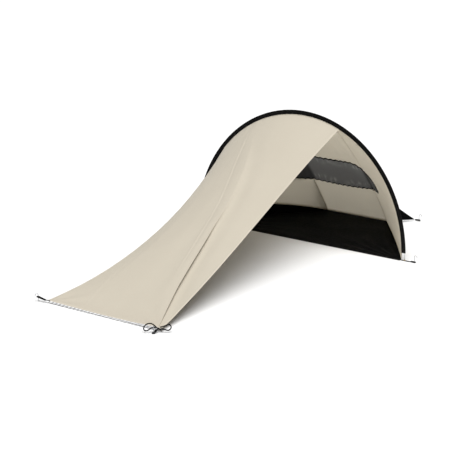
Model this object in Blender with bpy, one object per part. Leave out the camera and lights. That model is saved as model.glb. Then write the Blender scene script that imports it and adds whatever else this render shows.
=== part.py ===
"""One-hoop beach and camping shelter: a sleeved hoop pole, a pegged-out front canopy, a rear
enclosure with a crescent mesh window, a black groundsheet, corner fins, cords and wire pegs.

Metres, +Z up. The origin is on the ground, midway between the feet of the hoop. +X runs along
the hoop, +Y to the rear and -Y to the pegged front of the canopy.
"""
from math import asin, cos, pi, radians, sin

import bmesh
import bpy
from mathutils import Matrix, Vector

# --- driving dimensions ------------------------------------------------------------------
HALF_WIDTH = 1.0            # centre line to the sleeve's outer edge, at the ground
HEIGHT = 1.03               # ground to the sleeve's outer edge, at the apex
LEAN = 0.05                 # how far the apex leans to the rear
SLEEVE_WIDTH = 0.036        # sleeve across its flap, in the hoop's plane
SLEEVE_FOOT = 0.058         # height of the sleeve's open ends
POLE_RADIUS = 0.00425
POLE_BORE = 0.0033
FERRULE_RADIUS = 0.0030
FERRULE_BORE = 0.0021
FERRULE_LENGTH = 0.080
SHOCK_CORD_RADIUS = 0.00125
POLE_SECTIONS = 7
POLE_FOOT = 0.0125          # height of the pole's lower end
HINGE_HEIGHT = 0.008        # the hoop turns about a line at this height

REAR_DEPTH = 0.875          # hoop line to the rear edge of the floor
REAR_HALF_WIDTH = 0.29      # centre line to a rear corner
REAR_BULGE = 0.061          # how far the rear wall swells out of the straight line
FABRIC = 0.0010             # thickness of the cloth solids
FLOOR_THICKNESS = 0.0012
FLOOR_FRONT = 0.020         # the floor's hem runs this far in front of the hoop
WALL_BASE = 0.0018          # height of the walls' lower edges
TUB_HEIGHTS = {-1: 0.095, 1: 0.025}          # highest part of the floor's raised sides

WINDOW_SILL = 0.307
WINDOW_HEIGHT = 0.245
WINDOW_END = 1.12           # end of the window, in wall columns (1 is the rear corner)
WINDOW_CLEARANCE = 0.0035
WINDOW_SHARES = [0.0, 0.22, 0.44, 0.58, 0.70, 0.80, 0.89]   # outline points, middle to end
WINDOW_SHARES += [sin(radians(a)) ** (1 / 3) for a in (54.0, 62.0, 70.0, 78.0, 84.0, 90.0)]
BINDING_RADIUS = 0.0018

CANOPY_LEFT = radians(-50.7)    # the hoop angle where the canopy's left edge is sewn on
CANOPY_RIGHT = radians(21.25)
CANOPY_LENGTH = 2.389           # hoop line to the front hem
CANOPY_HEM_HALF = 0.5115
CANOPY_HEM_CENTRE = 0.0355       # the hem is pegged a little to the right
CANOPY_HEM_HEIGHT = 0.020
CANOPY_CUT = (0.111, 0.026)     # inward curve of the left and the right edge
CANOPY_SAG = (0.102, 0.055)     # sag of the left and the right edge

FIN_TOP = 0.315
FIN_TIP = Vector((0.463, 1.029, 0.010))

PEG_RADIUS = 0.0020
PEG_DEPTH = 0.160
PEG_NECK = 0.046
PEG_HOOK_RADIUS = 0.011
CORD_RADIUS = 0.0034
GAP = 0.0004                # what neighbouring solids keep between them

# where each peg stands, and which way its hook turns
PEGS = {
    "peg_front_left": (Vector((-0.560, -2.400, 0.0)), radians(235.0)),
    "peg_front_right": (Vector((0.534, -2.453, 0.0)), radians(305.0)),
    "peg_side_left": (Vector((-1.080, 0.0, 0.0)), radians(180.0)),
    "peg_side_right": (Vector((1.080, 0.0, 0.0)), radians(0.0)),
    "peg_rear_left": (Vector((-0.500, 1.035, 0.0)), radians(165.0)),
    "peg_rear_right": (Vector((0.500, 1.035, 0.0)), radians(15.0)),
}

COLOURS = {                 # base colour, roughness, metallic
    "canopy_cloth": ((0.62, 0.57, 0.49), 0.85, 0.0),
    "wall_cloth": ((0.60, 0.55, 0.47), 0.85, 0.0),
    "floor_cloth": ((0.012, 0.012, 0.012), 0.75, 0.0),
    "sleeve_cloth": ((0.016, 0.016, 0.017), 0.80, 0.0),
    "mesh_cloth": ((0.10, 0.10, 0.10), 0.80, 0.0),
    "webbing": ((0.015, 0.015, 0.015), 0.80, 0.0),
    "cord": ((0.015, 0.015, 0.015), 0.75, 0.0),
    "pole": ((0.72, 0.73, 0.74), 0.35, 0.9),
    "steel": ((0.66, 0.67, 0.68), 0.35, 1.0),
    "brass": ((0.65, 0.50, 0.28), 0.35, 1.0),
    "elastic": ((0.80, 0.80, 0.78), 0.70, 0.0),
}

# --- scene and materials -----------------------------------------------------------------


def clear_scene():
    for obj in list(bpy.data.objects):
        bpy.data.objects.remove(obj)


def material(name):
    found = bpy.data.materials.get(name)
    if found:
        return found
    colour, roughness, metallic = COLOURS[name]
    made = bpy.data.materials.new(name)
    made.use_nodes = True
    shader = made.node_tree.nodes["Principled BSDF"]
    shader.inputs["Base Color"].default_value = (*colour, 1.0)
    shader.inputs["Roughness"].default_value = roughness
    shader.inputs["Metallic"].default_value = metallic
    return made


def add_object(name, data, material_name, parent=None):
    obj = bpy.data.objects.new(name, data)
    bpy.context.scene.collection.objects.link(obj)
    data.materials.append(material(material_name))
    if parent:
        obj.parent = parent
        obj.matrix_parent_inverse = parent.matrix_world.inverted()
    return obj


def add_empty(name, place, parent=None):
    empty = bpy.data.objects.new(name, None)
    bpy.context.scene.collection.objects.link(empty)
    empty.location = place
    bpy.context.view_layer.update()
    if parent:
        empty.parent = parent
        empty.matrix_parent_inverse = parent.matrix_world.inverted()
        bpy.context.view_layer.update()
    return empty


def finish_mesh(name, bm, material_name, parent, smooth_angle=35.0):
    bmesh.ops.recalc_face_normals(bm, faces=bm.faces)
    mesh = bpy.data.meshes.new(name)
    bm.to_mesh(mesh)
    bm.free()
    mesh.shade_smooth()
    mesh.set_sharp_from_angle(angle=radians(smooth_angle))
    return add_object(name, mesh, material_name, parent)


def sheet(name, rows, material_name, parent=None, thickness=FABRIC, hole=None):
    """A thin closed solid on a grid of points. Coinciding points share a vertex, and
    hole(i, j) leaves a cell out."""
    keys = {}
    cells = []
    for i in range(len(rows) - 1):
        for j in range(len(rows[0]) - 1):
            if hole and hole(i, j):
                continue
            corners = [rows[i][j], rows[i + 1][j], rows[i + 1][j + 1], rows[i][j + 1]]
            ring = []
            for point in corners:
                key = tuple(round(value, 6) for value in point)
                keys.setdefault(key, point)
                if key not in ring:
                    ring.append(key)
            if len(ring) > 2:
                cells.append(ring)
    normals = {key: Vector() for key in keys}
    for ring in cells:
        a, b, c = keys[ring[0]], keys[ring[1]], keys[ring[2]]
        normal = (b - a).cross(c - a)
        if len(ring) == 4:
            normal += (c - a).cross(keys[ring[3]] - a)
        for key in ring:
            normals[key] += normal.normalized()
    bm = bmesh.new()
    upper, lower = {}, {}
    for key, point in keys.items():
        if normals[key].length == 0:
            continue
        offset = normals[key].normalized() * thickness / 2
        upper[key] = bm.verts.new(point + offset)
        lower[key] = bm.verts.new(point - offset)
    count = {}
    for ring in cells:
        # both layers are split along the same diagonal, so a twisted cell keeps its thickness
        for b, c in zip(ring[1:], ring[2:]):
            bm.faces.new([upper[ring[0]], upper[b], upper[c]])
            bm.faces.new([lower[c], lower[b], lower[ring[0]]])
        for a, b in zip(ring, ring[1:] + ring[:1]):
            count[(a, b)] = count.get((a, b), 0) + 1
    for a, b in count:
        if (b, a) not in count:
            bm.faces.new([upper[b], upper[a], lower[a], lower[b]])
    return finish_mesh(name, bm, material_name, parent)


def tube(name, points, radius, material_name, parent=None, resolution=2, cyclic=False):
    curve = bpy.data.curves.new(name, "CURVE")
    curve.dimensions = "3D"
    curve.bevel_depth = radius
    curve.bevel_resolution = resolution
    curve.use_fill_caps = True
    spline = curve.splines.new("POLY")
    spline.points.add(len(points) - 1)
    for target, point in zip(spline.points, points):
        target.co = (*point, 1.0)
    spline.use_cyclic_u = cyclic
    return add_object(name, curve, material_name, parent)


def smooth_path(points, spacing):
    """Evenly spaced points on a Catmull-Rom curve through the given ones."""
    points = [Vector(point) for point in points]
    padded = [2 * points[0] - points[1], *points, 2 * points[-1] - points[-2]]
    dense = []
    for a, b, c, d in zip(padded, padded[1:], padded[2:], padded[3:]):
        for step in range(24):
            t = step / 24
            dense.append(0.5 * (2 * b + (c - a) * t + (2 * a - 5 * b + 4 * c - d) * t * t
                                + (3 * b - a - 3 * c + d) * t ** 3))
    dense.append(points[-1])
    lengths = [0.0]
    for a, b in zip(dense, dense[1:]):
        lengths.append(lengths[-1] + (b - a).length)
    count = max(2, round(lengths[-1] / spacing))
    path = []
    k = 0
    for step in range(count + 1):
        target = lengths[-1] * step / count
        while k < len(dense) - 2 and lengths[k + 1] < target:
            k += 1
        share = (target - lengths[k]) / max(lengths[k + 1] - lengths[k], 1e-9)
        path.append(dense[k].lerp(dense[k + 1], min(share, 1.0)))
    return path


# --- the hoop's geometry -----------------------------------------------------------------

HOOP_UP = Vector((0.0, LEAN, HEIGHT)).normalized()
HOOP_REAR = Vector((0.0, HOOP_UP.z, -HOOP_UP.y))
SLOPE_HEIGHT = (HEIGHT ** 2 + LEAN ** 2) ** 0.5
POLE_INSET = 0.0065         # sleeve's outer edge to the pole's centre line


def hoop_outward(angle):
    """Unit normal of the hoop's outline in its plane; angle is 0 at the apex, + towards +X."""
    across = sin(angle) / HALF_WIDTH
    up = cos(angle) / SLOPE_HEIGHT
    return (Vector((1, 0, 0)) * across + HOOP_UP * up).normalized()


def hoop_point(angle, inset=0.0, rear=0.0):
    edge = Vector((1, 0, 0)) * HALF_WIDTH * sin(angle) + HOOP_UP * SLOPE_HEIGHT * cos(angle)
    return edge - hoop_outward(angle) * inset + HOOP_REAR * rear


def hoop_angle_at(height, inset=0.0):
    """The angle, on the +X side, where the inset outline stands at this height."""
    low, high = 0.0, pi / 2
    for _ in range(60):
        middle = (low + high) / 2
        if hoop_point(middle, inset).z > height:
            low = middle
        else:
            high = middle
    return low


def pole_line(knots=48):
    """Angles from the left foot of the pole to its right foot."""
    end = hoop_angle_at(POLE_FOOT, POLE_INSET)
    return [-end + 2 * end * k / knots for k in range(knots + 1)]


def pole_stations(start, end):
    """Frames (centre, outward) on the pole's chain of straight knots, between two shares
    of its length."""
    angles = pole_line()
    last = len(angles) - 1
    places = {start * last, end * last}
    places.update(k for k in range(last + 1) if start * last < k < end * last)
    frames = []
    for place in sorted(places):
        k = min(int(place), last - 1)
        share = place - k
        centre = hoop_point(angles[k], POLE_INSET).lerp(hoop_point(angles[k + 1], POLE_INSET), share)
        outward = hoop_outward(angles[k]).lerp(hoop_outward(angles[k + 1]), share).normalized()
        frames.append((centre, outward))
    return frames


def sweep(name, frames, outline, bore, material_name, parent):
    """Sweeps an outline, and a bore with as many points, along frames of the hoop."""
    bm = bmesh.new()

    def ring(frame, section):
        centre, outward = frame
        return [bm.verts.new(centre + outward * a + HOOP_REAR * b) for a, b in section]

    outer = [ring(frame, outline) for frame in frames]
    inner = [ring(frame, bore) for frame in frames] if bore else []
    sides = len(outline)
    for rings in (outer, inner):
        for a, b in zip(rings, rings[1:]):
            for k in range(sides):
                n = (k + 1) % sides
                bm.faces.new([a[k], a[n], b[n], b[k]])
    for end in (0, -1):
        if bore:
            for k in range(sides):
                n = (k + 1) % sides
                bm.faces.new([outer[end][k], outer[end][n], inner[end][n], inner[end][k]])
        else:
            bm.faces.new(outer[end])
    return finish_mesh(name, bm, material_name, parent)


def circle(radius, sides=8):
    return [(radius * cos(2 * pi * k / sides), radius * sin(2 * pi * k / sides))
            for k in range(sides)]


# --- the hoop: pole, ferrules, shock cord, tips and sleeve -------------------------------

# right half of the sleeve's section round the pole, then its flap, in millimetres
SLEEVE_HALF = [(6.5, 0.0), (5.6, 3.3), (3.2, 5.7), (0.0, 6.4), (-3.2, 5.6), (-8.0, 3.0),
               (-29.5, 1.2)]


def build_sleeve(hoop):
    end = hoop_angle_at(SLEEVE_FOOT, POLE_INSET)
    angles = [-end + 2 * end * k / 48 for k in range(49)]
    frames = [(hoop_point(angle, POLE_INSET), hoop_outward(angle)) for angle in angles]
    half = [(a / 1000, b / 1000) for a, b in SLEEVE_HALF]
    outline = half + [(a, -b) for a, b in reversed(half[1:])]
    bore_radius = 0.0051
    bore = []
    for a, b in outline:
        reach = (a * a + b * b) ** 0.5
        bore.append((a / reach * bore_radius, b / reach * bore_radius))
    sweep("hoop_sleeve", frames, outline, bore, "sleeve_cloth", hoop)


def build_pole(hoop):
    half_gap = 0.5 * GAP / 3.15
    for index in range(POLE_SECTIONS):
        start = index / POLE_SECTIONS + (half_gap if index else 0.0)
        end = (index + 1) / POLE_SECTIONS - (half_gap if index < POLE_SECTIONS - 1 else 0.0)
        sweep(f"pole_section_{index + 1}", pole_stations(start, end), circle(POLE_RADIUS),
              circle(POLE_BORE), "pole", hoop)
    half = 0.5 * FERRULE_LENGTH / 3.15
    for index in range(1, POLE_SECTIONS):
        middle = index / POLE_SECTIONS
        sweep(f"ferrule_{index}", pole_stations(middle - half, middle + half),
              circle(FERRULE_RADIUS), circle(FERRULE_BORE), "pole", hoop)
    sweep("shock_cord", pole_stations(0.010, 0.990), circle(SHOCK_CORD_RADIUS, 6), None,
          "elastic", hoop)


def build_pole_tip(side, hoop):
    """A turned plug: a spigot up into the pole, a collar under it and a pin down into the
    grommet. The profile runs from the pin's end upwards as (radius, height)."""
    profile = [(0.0016, 0.0010), (0.00225, 0.0018), (0.00225, 0.0092), (0.0046, 0.0096),
               (0.0046, POLE_FOOT - GAP), (0.0028, POLE_FOOT - GAP), (0.0028, 0.0260)]
    sides = 12
    foot = hoop_point(hoop_angle_at(POLE_FOOT, POLE_INSET), POLE_INSET)
    axis = (hoop_point(hoop_angle_at(0.03, POLE_INSET), POLE_INSET) - foot).normalized()
    centre = foot - axis * (POLE_FOOT / axis.z)
    turn = axis.to_track_quat("Z", "Y").to_matrix()
    bm = bmesh.new()
    rings = []
    for radius, height in profile:
        ring = []
        for k in range(sides):
            angle = 2 * pi * k / sides
            local = Vector((radius * cos(angle), radius * sin(angle), height))
            place = centre + turn @ local
            ring.append(bm.verts.new((side * place.x, place.y, place.z)))
        rings.append(ring)
    for a, b in zip(rings, rings[1:]):
        for k in range(sides):
            n = (k + 1) % sides
            bm.faces.new([a[k], a[n], b[n], b[k]])
    bm.faces.new(rings[0])
    bm.faces.new(rings[-1])
    name = "pole_tip_right" if side > 0 else "pole_tip_left"
    finish_mesh(name, bm, "brass", hoop)


# --- the rear enclosure ------------------------------------------------------------------

SEAM_INSET = SLEEVE_WIDTH + GAP
SEAM_REAR = 0.0022
CORNER_ANGLE = asin(REAR_HALF_WIDTH / (HALF_WIDTH - SEAM_INSET))
WALL_TIP = 0.012            # height of the wall's last point at the foot
FOOT_ANGLE = hoop_angle_at(WALL_TIP, SEAM_INSET)
WALL_FOOT_X = HALF_WIDTH - SEAM_INSET


def wall_ends(column):
    """Lower and upper end of a wall column. Columns -1 to 1 are the rear wall, and each
    side wall runs on to 2, at the foot of the hoop."""
    sign = 1.0 if column >= 0 else -1.0
    reach = abs(column)
    if reach <= 1.0:
        across = REAR_HALF_WIDTH * reach
        base = Vector((across, REAR_DEPTH, WALL_BASE))
        angle = asin(across / WALL_FOOT_X)
    else:
        share = reach - 1.0
        base = Vector((REAR_HALF_WIDTH + (WALL_FOOT_X - REAR_HALF_WIDTH) * share,
                       REAR_DEPTH * (1 - share) + 0.003 * share, WALL_BASE))
        angle = CORNER_ANGLE + (FOOT_ANGLE - CORNER_ANGLE) * share
    top = hoop_point(angle, SEAM_INSET, SEAM_REAR)
    return sign, base, top


def wall_point(column, height):
    """The point of the rear enclosure in this column, at this height over the ground."""
    sign, base, top = wall_ends(column)
    share = (height - base.z) / (top.z - base.z)
    beyond = max(0.0, abs(column) - 1.0)
    turn = min(1.0, 3 * beyond)
    outward = Vector((0.776 * turn, 1.0 - 0.37 * turn, 0.0))
    point = base.lerp(top, share)
    point += outward * REAR_BULGE * (1 - beyond) * 4 * share * (1 - share)
    return Vector((sign * point.x, point.y, point.z))


def wall_top(column):
    return wall_ends(column)[2].z


def tub_height(column):
    """Height of the floor's raised side; column is negative on the left."""
    height = TUB_HEIGHTS[-1 if column < 0 else 1]
    beyond = max(0.0, abs(column) - 1.0)
    return WALL_BASE + 0.0030 + height * sin(pi * min(beyond, 1.0)) ** 0.9


def window_end(step):
    return WINDOW_END + WINDOW_CLEARANCE * step


def window_sill(column, step):
    return WINDOW_SILL + 0.018 * column ** 2 - WINDOW_CLEARANCE * step


def window_head(column, step):
    """Upper edge of the window outline. step is 1 for the hole in the walls, 0 for the
    binding and -1 for the mesh."""
    share = min(1.0, abs(column) / window_end(step))
    rise = (WINDOW_HEIGHT + 2 * WINDOW_CLEARANCE * step) * max(0.0, 1 - share ** 6) ** 0.5
    return window_sill(column, step) + rise


def window_columns(step, first=0.0):
    """Columns of the window's outline, from its middle to its end, from share first on."""
    return [share * window_end(step) for share in WINDOW_SHARES if share >= first]


def between(low, high, count):
    return [low + (high - low) * k / count for k in range(count + 1)]


def build_rear_wall():
    edge = 1.0 - GAP / REAR_HALF_WIDTH
    half = [c for c in window_columns(1) if c < 0.95] + [edge]
    columns = [-c for c in reversed(half[1:])] + half
    lower = [[wall_point(c, z) for z in between(WALL_BASE, window_sill(c, 1), 3)]
             for c in columns]
    sheet("rear_wall", lower, "wall_cloth")
    upper = [[wall_point(c, z) for z in between(window_head(c, 1), wall_top(c), 6)]
             for c in columns]
    sheet("roof_panel", upper, "wall_cloth")


def side_heights(side, column):
    """Heights of a side wall's grid lines: below, across and above the window."""
    low = tub_height(side * column) + GAP
    top = wall_top(column)
    end = window_end(1)
    if column <= end:
        sill, head = window_sill(column, 1), window_head(column, 1)
    else:
        share = (column - end) / (2.0 - end)
        tip = window_sill(end, 1)
        middle = tip + (low + (top - low) * 0.45 - tip) * min(1.0, share * 2.2)
        spread = min(1.0, share * 2.2) * (top - low) * 0.12
        sill, head = middle - spread, middle + spread
    return between(low, sill, 3) + between(head, top, 6)


def build_side(side):
    name = "right" if side > 0 else "left"
    start = 1.0 + GAP / (WALL_FOOT_X - REAR_HALF_WIDTH)
    inside = [start] + window_columns(1, 0.90)
    beyond = [window_end(1) + (2.0 - window_end(1)) * (k / 9) for k in range(1, 10)]
    columns = inside + beyond
    rows = []
    for column in columns:
        points = [wall_point(column, z) for z in side_heights(side, column)]
        rows.append([Vector((side * p.x, p.y, p.z)) for p in points])
    across = 3              # the grid line row that holds the window

    def hole(i, j):
        return j == across and i < len(inside) - 1

    sheet(f"side_wall_{name}", rows, "wall_cloth", hole=hole)
    strip = []
    for column in columns:
        heights = between(WALL_BASE, tub_height(side * column) - GAP, 1)
        points = [wall_point(column, z) for z in heights]
        strip.append([Vector((side * p.x, p.y, p.z)) for p in points])
    sheet(f"tub_side_{name}", strip, "floor_cloth")


def build_window():
    half = window_columns(-1)[:-1]
    columns = [-c for c in reversed(half[1:])] + half
    rows = [[wall_point(c, z) for z in between(window_sill(c, -1), window_head(c, -1), 3)]
            for c in columns]
    sheet("window_mesh", rows, "mesh_cloth", thickness=0.0006)
    half = window_columns(0)
    columns = [-c for c in reversed(half[1:])] + half
    head = [wall_point(c, window_head(c, 0)) for c in columns]
    sill = [wall_point(c, window_sill(c, 0)) for c in reversed(columns[1:-1])]
    tube("window_binding", head + sill, BINDING_RADIUS, "webbing", cyclic=True, resolution=1)


def build_floor():
    front = WALL_FOOT_X - 0.004
    rear = REAR_DEPTH + 0.004
    outline = [(-front, -FLOOR_FRONT), (front, -FLOOR_FRONT), (front + 0.003, 0.006),
               (REAR_HALF_WIDTH + 0.004, rear), (-REAR_HALF_WIDTH - 0.004, rear),
               (-front - 0.003, 0.006)]
    bm = bmesh.new()
    base = bm.faces.new([bm.verts.new((x, y, 0.0)) for x, y in outline])
    grown = bmesh.ops.extrude_face_region(bm, geom=[base])
    lifted = [item for item in grown["geom"] if isinstance(item, bmesh.types.BMVert)]
    bmesh.ops.translate(bm, verts=lifted, vec=(0, 0, FLOOR_THICKNESS))
    finish_mesh("groundsheet", bm, "floor_cloth", None)


def build_fin(side):
    """A triangle of cloth from the rear corner seam out to its peg."""
    rows = []
    away = Vector((0.55, 0.83, 0.0)) * 0.0022
    for k in range(7):
        height = 0.0045 + (FIN_TOP - 0.0045) * k / 6
        seam = wall_point(1.0, height) + away
        row = [seam.lerp(FIN_TIP, share) for share in (0.0, 0.25, 0.5, 0.75, 1.0)]
        rows.append([Vector((side * p.x, p.y, p.z)) for p in row])
    sheet("corner_fin_right" if side > 0 else "corner_fin_left", rows, "floor_cloth")


# --- the feet: straps and grommets -------------------------------------------------------

FOOT_X = HALF_WIDTH - POLE_INSET
STRAP_HALF_WIDTH = 0.0125
STRAP_THICKNESS = 0.0016
STRAP_HOLE = 0.0085


def lathe(name, profile, centre, material_name, parent=None, sides=20):
    """A ring turned about a vertical line through centre."""
    bm = bmesh.new()
    rings = []
    for k in range(sides):
        angle = 2 * pi * k / sides
        rings.append([bm.verts.new(centre + Vector((r * cos(angle), r * sin(angle), z)))
                      for r, z in profile])
    for k in range(sides):
        a, b = rings[k], rings[(k + 1) % sides]
        for j in range(len(profile)):
            n = (j + 1) % len(profile)
            bm.faces.new([a[j], b[j], b[n], a[n]])
    return finish_mesh(name, bm, material_name, parent)


def build_foot(side):
    name = "right" if side > 0 else "left"
    start, end = WALL_FOOT_X + 0.001, HALF_WIDTH + 0.045
    low, high = 0.0, STRAP_THICKNESS
    bm = bmesh.new()
    bmesh.ops.create_cube(bm, size=1.0)
    for vert in bm.verts:
        vert.co.x = side * (start if vert.co.x < 0 else end)
        vert.co.y = STRAP_HALF_WIDTH * (1 if vert.co.y > 0 else -1)
        vert.co.z = high if vert.co.z > 0 else low
    strap = finish_mesh(f"foot_strap_{name}", bm, "webbing", None)
    cutter_mesh = bpy.data.meshes.new(f"strap_hole_{name}")
    bm = bmesh.new()
    bmesh.ops.create_cone(bm, cap_ends=True, segments=20, radius1=STRAP_HOLE,
                          radius2=STRAP_HOLE, depth=0.02,
                          matrix=Matrix.Translation((side * FOOT_X, 0.0005, 0.0)))
    bm.to_mesh(cutter_mesh)
    bm.free()
    cutter = bpy.data.objects.new(f"strap_hole_{name}", cutter_mesh)
    bpy.context.scene.collection.objects.link(cutter)
    cutter.hide_render = True
    cutter.display_type = "WIRE"
    cut = strap.modifiers.new("hole", "BOOLEAN")
    cut.operation = "DIFFERENCE"
    cut.solver = "EXACT"
    cut.object = cutter
    profile = [(0.0062, 0.0003), (0.0080, 0.0003), (0.0080, 0.0020), (0.0098, 0.0020),
               (0.0098, 0.0027), (0.0090, 0.0030), (0.0062, 0.0030)]
    lathe(f"grommet_{name}", profile, Vector((side * FOOT_X, 0.0005, 0.0)), "brass")


# --- the front canopy --------------------------------------------------------------------

CANOPY_SEAM_REAR = -0.0022


def canopy_point(across, along):
    """across runs from the left edge to the right one, along from the hoop to the hem."""
    angle = CANOPY_LEFT + (CANOPY_RIGHT - CANOPY_LEFT) * across
    top = hoop_point(angle, SEAM_INSET, CANOPY_SEAM_REAR)
    hem = Vector((CANOPY_HEM_CENTRE + CANOPY_HEM_HALF * (2 * across - 1), -CANOPY_LENGTH,
                  CANOPY_HEM_HEIGHT))
    point = top.lerp(hem, along)
    even = 4 * along * (1 - along)
    late = 6.75 * along ** 2 * (1 - along)
    point.x += (CANOPY_CUT[0] * (1 - across) - CANOPY_CUT[1] * across) * even
    point.z -= CANOPY_SAG[0] * (1 - across) * even + CANOPY_SAG[1] * across * late
    point.z -= 0.006 * sin(pi * across) * along ** 4
    return point


def build_canopy(canopy):
    rows = [[canopy_point(i / 12, j / 22) for j in range(23)] for i in range(13)]
    sheet("front_canopy", rows, "canopy_cloth", canopy)


def corner_frame(across):
    """Corner of the hem and the level direction from it to its peg."""
    corner = canopy_point(across, 1.0)
    peg = PEGS["peg_front_right" if across > 0.5 else "peg_front_left"][0]
    towards = Vector((peg.x - corner.x, peg.y - corner.y, 0.0)).normalized()
    return corner, towards


def build_hem_tab(across, canopy):
    """A short sewn webbing tab that carries the cord."""
    corner, towards = corner_frame(across)
    level = Vector((-towards.y, towards.x, 0.0))
    start = corner + towards * 0.003
    drop = Vector((0.0, 0.0, -0.002))
    rows = [[start + level * w + towards * reach + drop * (reach / 0.015)
             for reach in (0.0, 0.0075, 0.015)] for w in (-0.007, 0.0, 0.007)]
    name = "hem_tab_right" if across > 0.5 else "hem_tab_left"
    sheet(name, rows, "webbing", canopy, thickness=0.0020)


# --- cords -------------------------------------------------------------------------------


def loop_route(start, peg, height, spread=0.0042, turn=0.0085):
    """A slender loop from start round a peg and back: two strands and a round end."""
    away = Vector((peg.x - start.x, peg.y - start.y, 0.0)).normalized()
    level = Vector((-away.y, away.x, 0.0))
    end = Vector((peg.x, peg.y, height))
    span = (Vector((end.x, end.y, 0)) - Vector((start.x, start.y, 0))).length
    outward = []
    for share in (0.0, 0.3, 0.6, 0.85):
        place = start.lerp(end, share * (span - 0.2 * turn) / span)
        outward.append(place + level * (spread + (turn - spread) * share ** 1.5))
    crown = [end + away * turn * sin(radians(a)) + level * turn * cos(radians(a))
             for a in (15.0, 45.0, 90.0, 135.0, 165.0)]
    back = [place - 2 * level * (place - start).dot(level) for place in reversed(outward)]
    return outward + crown + back


def build_front_cords(canopy):
    corner, towards = corner_frame(0.0)
    start = corner + towards * 0.0205 + Vector((0, 0, -0.002))
    route = loop_route(start, PEGS["peg_front_left"][0], 0.0330)
    tube("front_cord_left", smooth_path(route, 0.008), CORD_RADIUS, "cord", canopy)
    knot = knot_place()
    away = Vector((PEGS["peg_front_right"][0].x - knot.x,
                   PEGS["peg_front_right"][0].y - knot.y, 0.0)).normalized()
    start = knot + away * 0.0105 + Vector((0, 0, -0.004))
    route = loop_route(start, PEGS["peg_front_right"][0], 0.0045)
    tube("front_cord_right", smooth_path(route, 0.009), CORD_RADIUS, "cord", canopy)


def knot_place():
    corner, towards = corner_frame(1.0)
    return corner + towards * 0.0240 + Vector((0, 0, 0.006))


# the bow's loops, as (sideways, towards the front, up) from the knot, in millimetres
BOW_LEFT = [(-10, -6, 2), (-26, -10, 18), (-48, -12, 31), (-74, -12, 29), (-92, -4, 16),
            (-98, 8, 2), (-88, 18, -9), (-70, 17, -7), (-50, 10, 4), (-30, 4, 10), (-12, 1, 9)]
BOW_RIGHT = [(10, 6, -2), (28, 8, -2), (48, 9, -4), (68, 8, -8), (83, 0, 0), (85, -8, 14),
             (73, -12, 26), (55, -10, 21), (32, -5, 14), (11, 0, 10)]


def build_bow(canopy):
    knot = knot_place()
    sideways = Vector((0.819, 0.574, 0.0))
    frontward = Vector((0.574, -0.819, 0.0))
    for name, loop in (("bow_loop_left", BOW_LEFT), ("bow_loop_right", BOW_RIGHT)):
        points = [knot + (sideways * a + frontward * b + Vector((0, 0, 1)) * c) / 1000
                  for a, b, c in loop]
        tube(name, smooth_path(points, 0.009), CORD_RADIUS, "cord", canopy)
    bm = bmesh.new()
    bmesh.ops.create_icosphere(bm, subdivisions=2, radius=0.0080)
    bmesh.ops.translate(bm, verts=bm.verts, vec=knot)
    finish_mesh("bow_knot", bm, "cord", canopy, 60.0)


def build_ground_cords():
    """The loops that hold the foot straps and the corner fins to their pegs."""
    for side, name in ((1, "right"), (-1, "left")):
        start = Vector((side * (HALF_WIDTH + 0.0480), 0.0, 0.0042))
        route = loop_route(start, PEGS[f"peg_side_{name}"][0], 0.0042, 0.0050)
        tube(f"side_cord_{name}", smooth_path(route, 0.007), CORD_RADIUS, "cord")
        tip = Vector((side * FIN_TIP.x, FIN_TIP.y, FIN_TIP.z))
        away = (PEGS[f"peg_rear_{name}"][0] - Vector((tip.x, tip.y, 0.0))).normalized()
        start = tip + away * 0.0040
        route = loop_route(start, PEGS[f"peg_rear_{name}"][0], 0.0090)
        tube(f"rear_cord_{name}", smooth_path(route, 0.007), CORD_RADIUS, "cord")


# --- the pegs ----------------------------------------------------------------------------


def build_peg(name, place, facing):
    """A wire peg: a straight shank, a round hook over its top and a short return."""
    empty = add_empty(f"{name}_axis", place)
    reach = Vector((cos(facing), sin(facing), 0.0))
    top = place + Vector((0, 0, PEG_NECK))
    centre = top + reach * PEG_HOOK_RADIUS
    points = [place + Vector((0, 0, -PEG_DEPTH)), place + Vector((0, 0, -PEG_DEPTH / 2)), place]
    for k in range(9):
        angle = radians(180.0 - 205.0 * k / 8)
        points.append(centre + (reach * cos(angle) + Vector((0, 0, sin(angle))))
                      * PEG_HOOK_RADIUS)
    tube(name, points, PEG_RADIUS, "steel", empty)


# --- assembly ----------------------------------------------------------------------------


def main():
    clear_scene()
    hoop = add_empty("hoop_axis", (0.0, HINGE_HEIGHT * LEAN / HEIGHT, HINGE_HEIGHT))
    seam = hoop_point(0.0, SEAM_INSET)
    canopy = add_empty("canopy_axis", (0.0, seam.y, seam.z), hoop)
    build_pole(hoop)
    build_sleeve(hoop)
    build_rear_wall()
    build_window()
    build_floor()
    build_canopy(canopy)
    for side in (1, -1):
        build_pole_tip(side, hoop)
        build_side(side)
        build_fin(side)
        build_foot(side)
    for across in (0.0, 1.0):
        build_hem_tab(across, canopy)
    build_front_cords(canopy)
    build_bow(canopy)
    build_ground_cords()
    for name, (place, facing) in PEGS.items():
        build_peg(name, place, facing)


main()
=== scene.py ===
"""Looks of the one-hoop ground shelter: cloth panels with seams, hems and stitches, braided
cords, wire pegs, the sleeved pole, a pale floor, soft light and the camera.

Metres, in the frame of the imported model. +X runs along the hoop, +Y to the rear enclosure, -Y
to the pegged hem of the front canopy, +Z up.
"""
from math import asin, cos, exp, pi, radians, sin

import bmesh
import bpy
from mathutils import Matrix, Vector, noise


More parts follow.
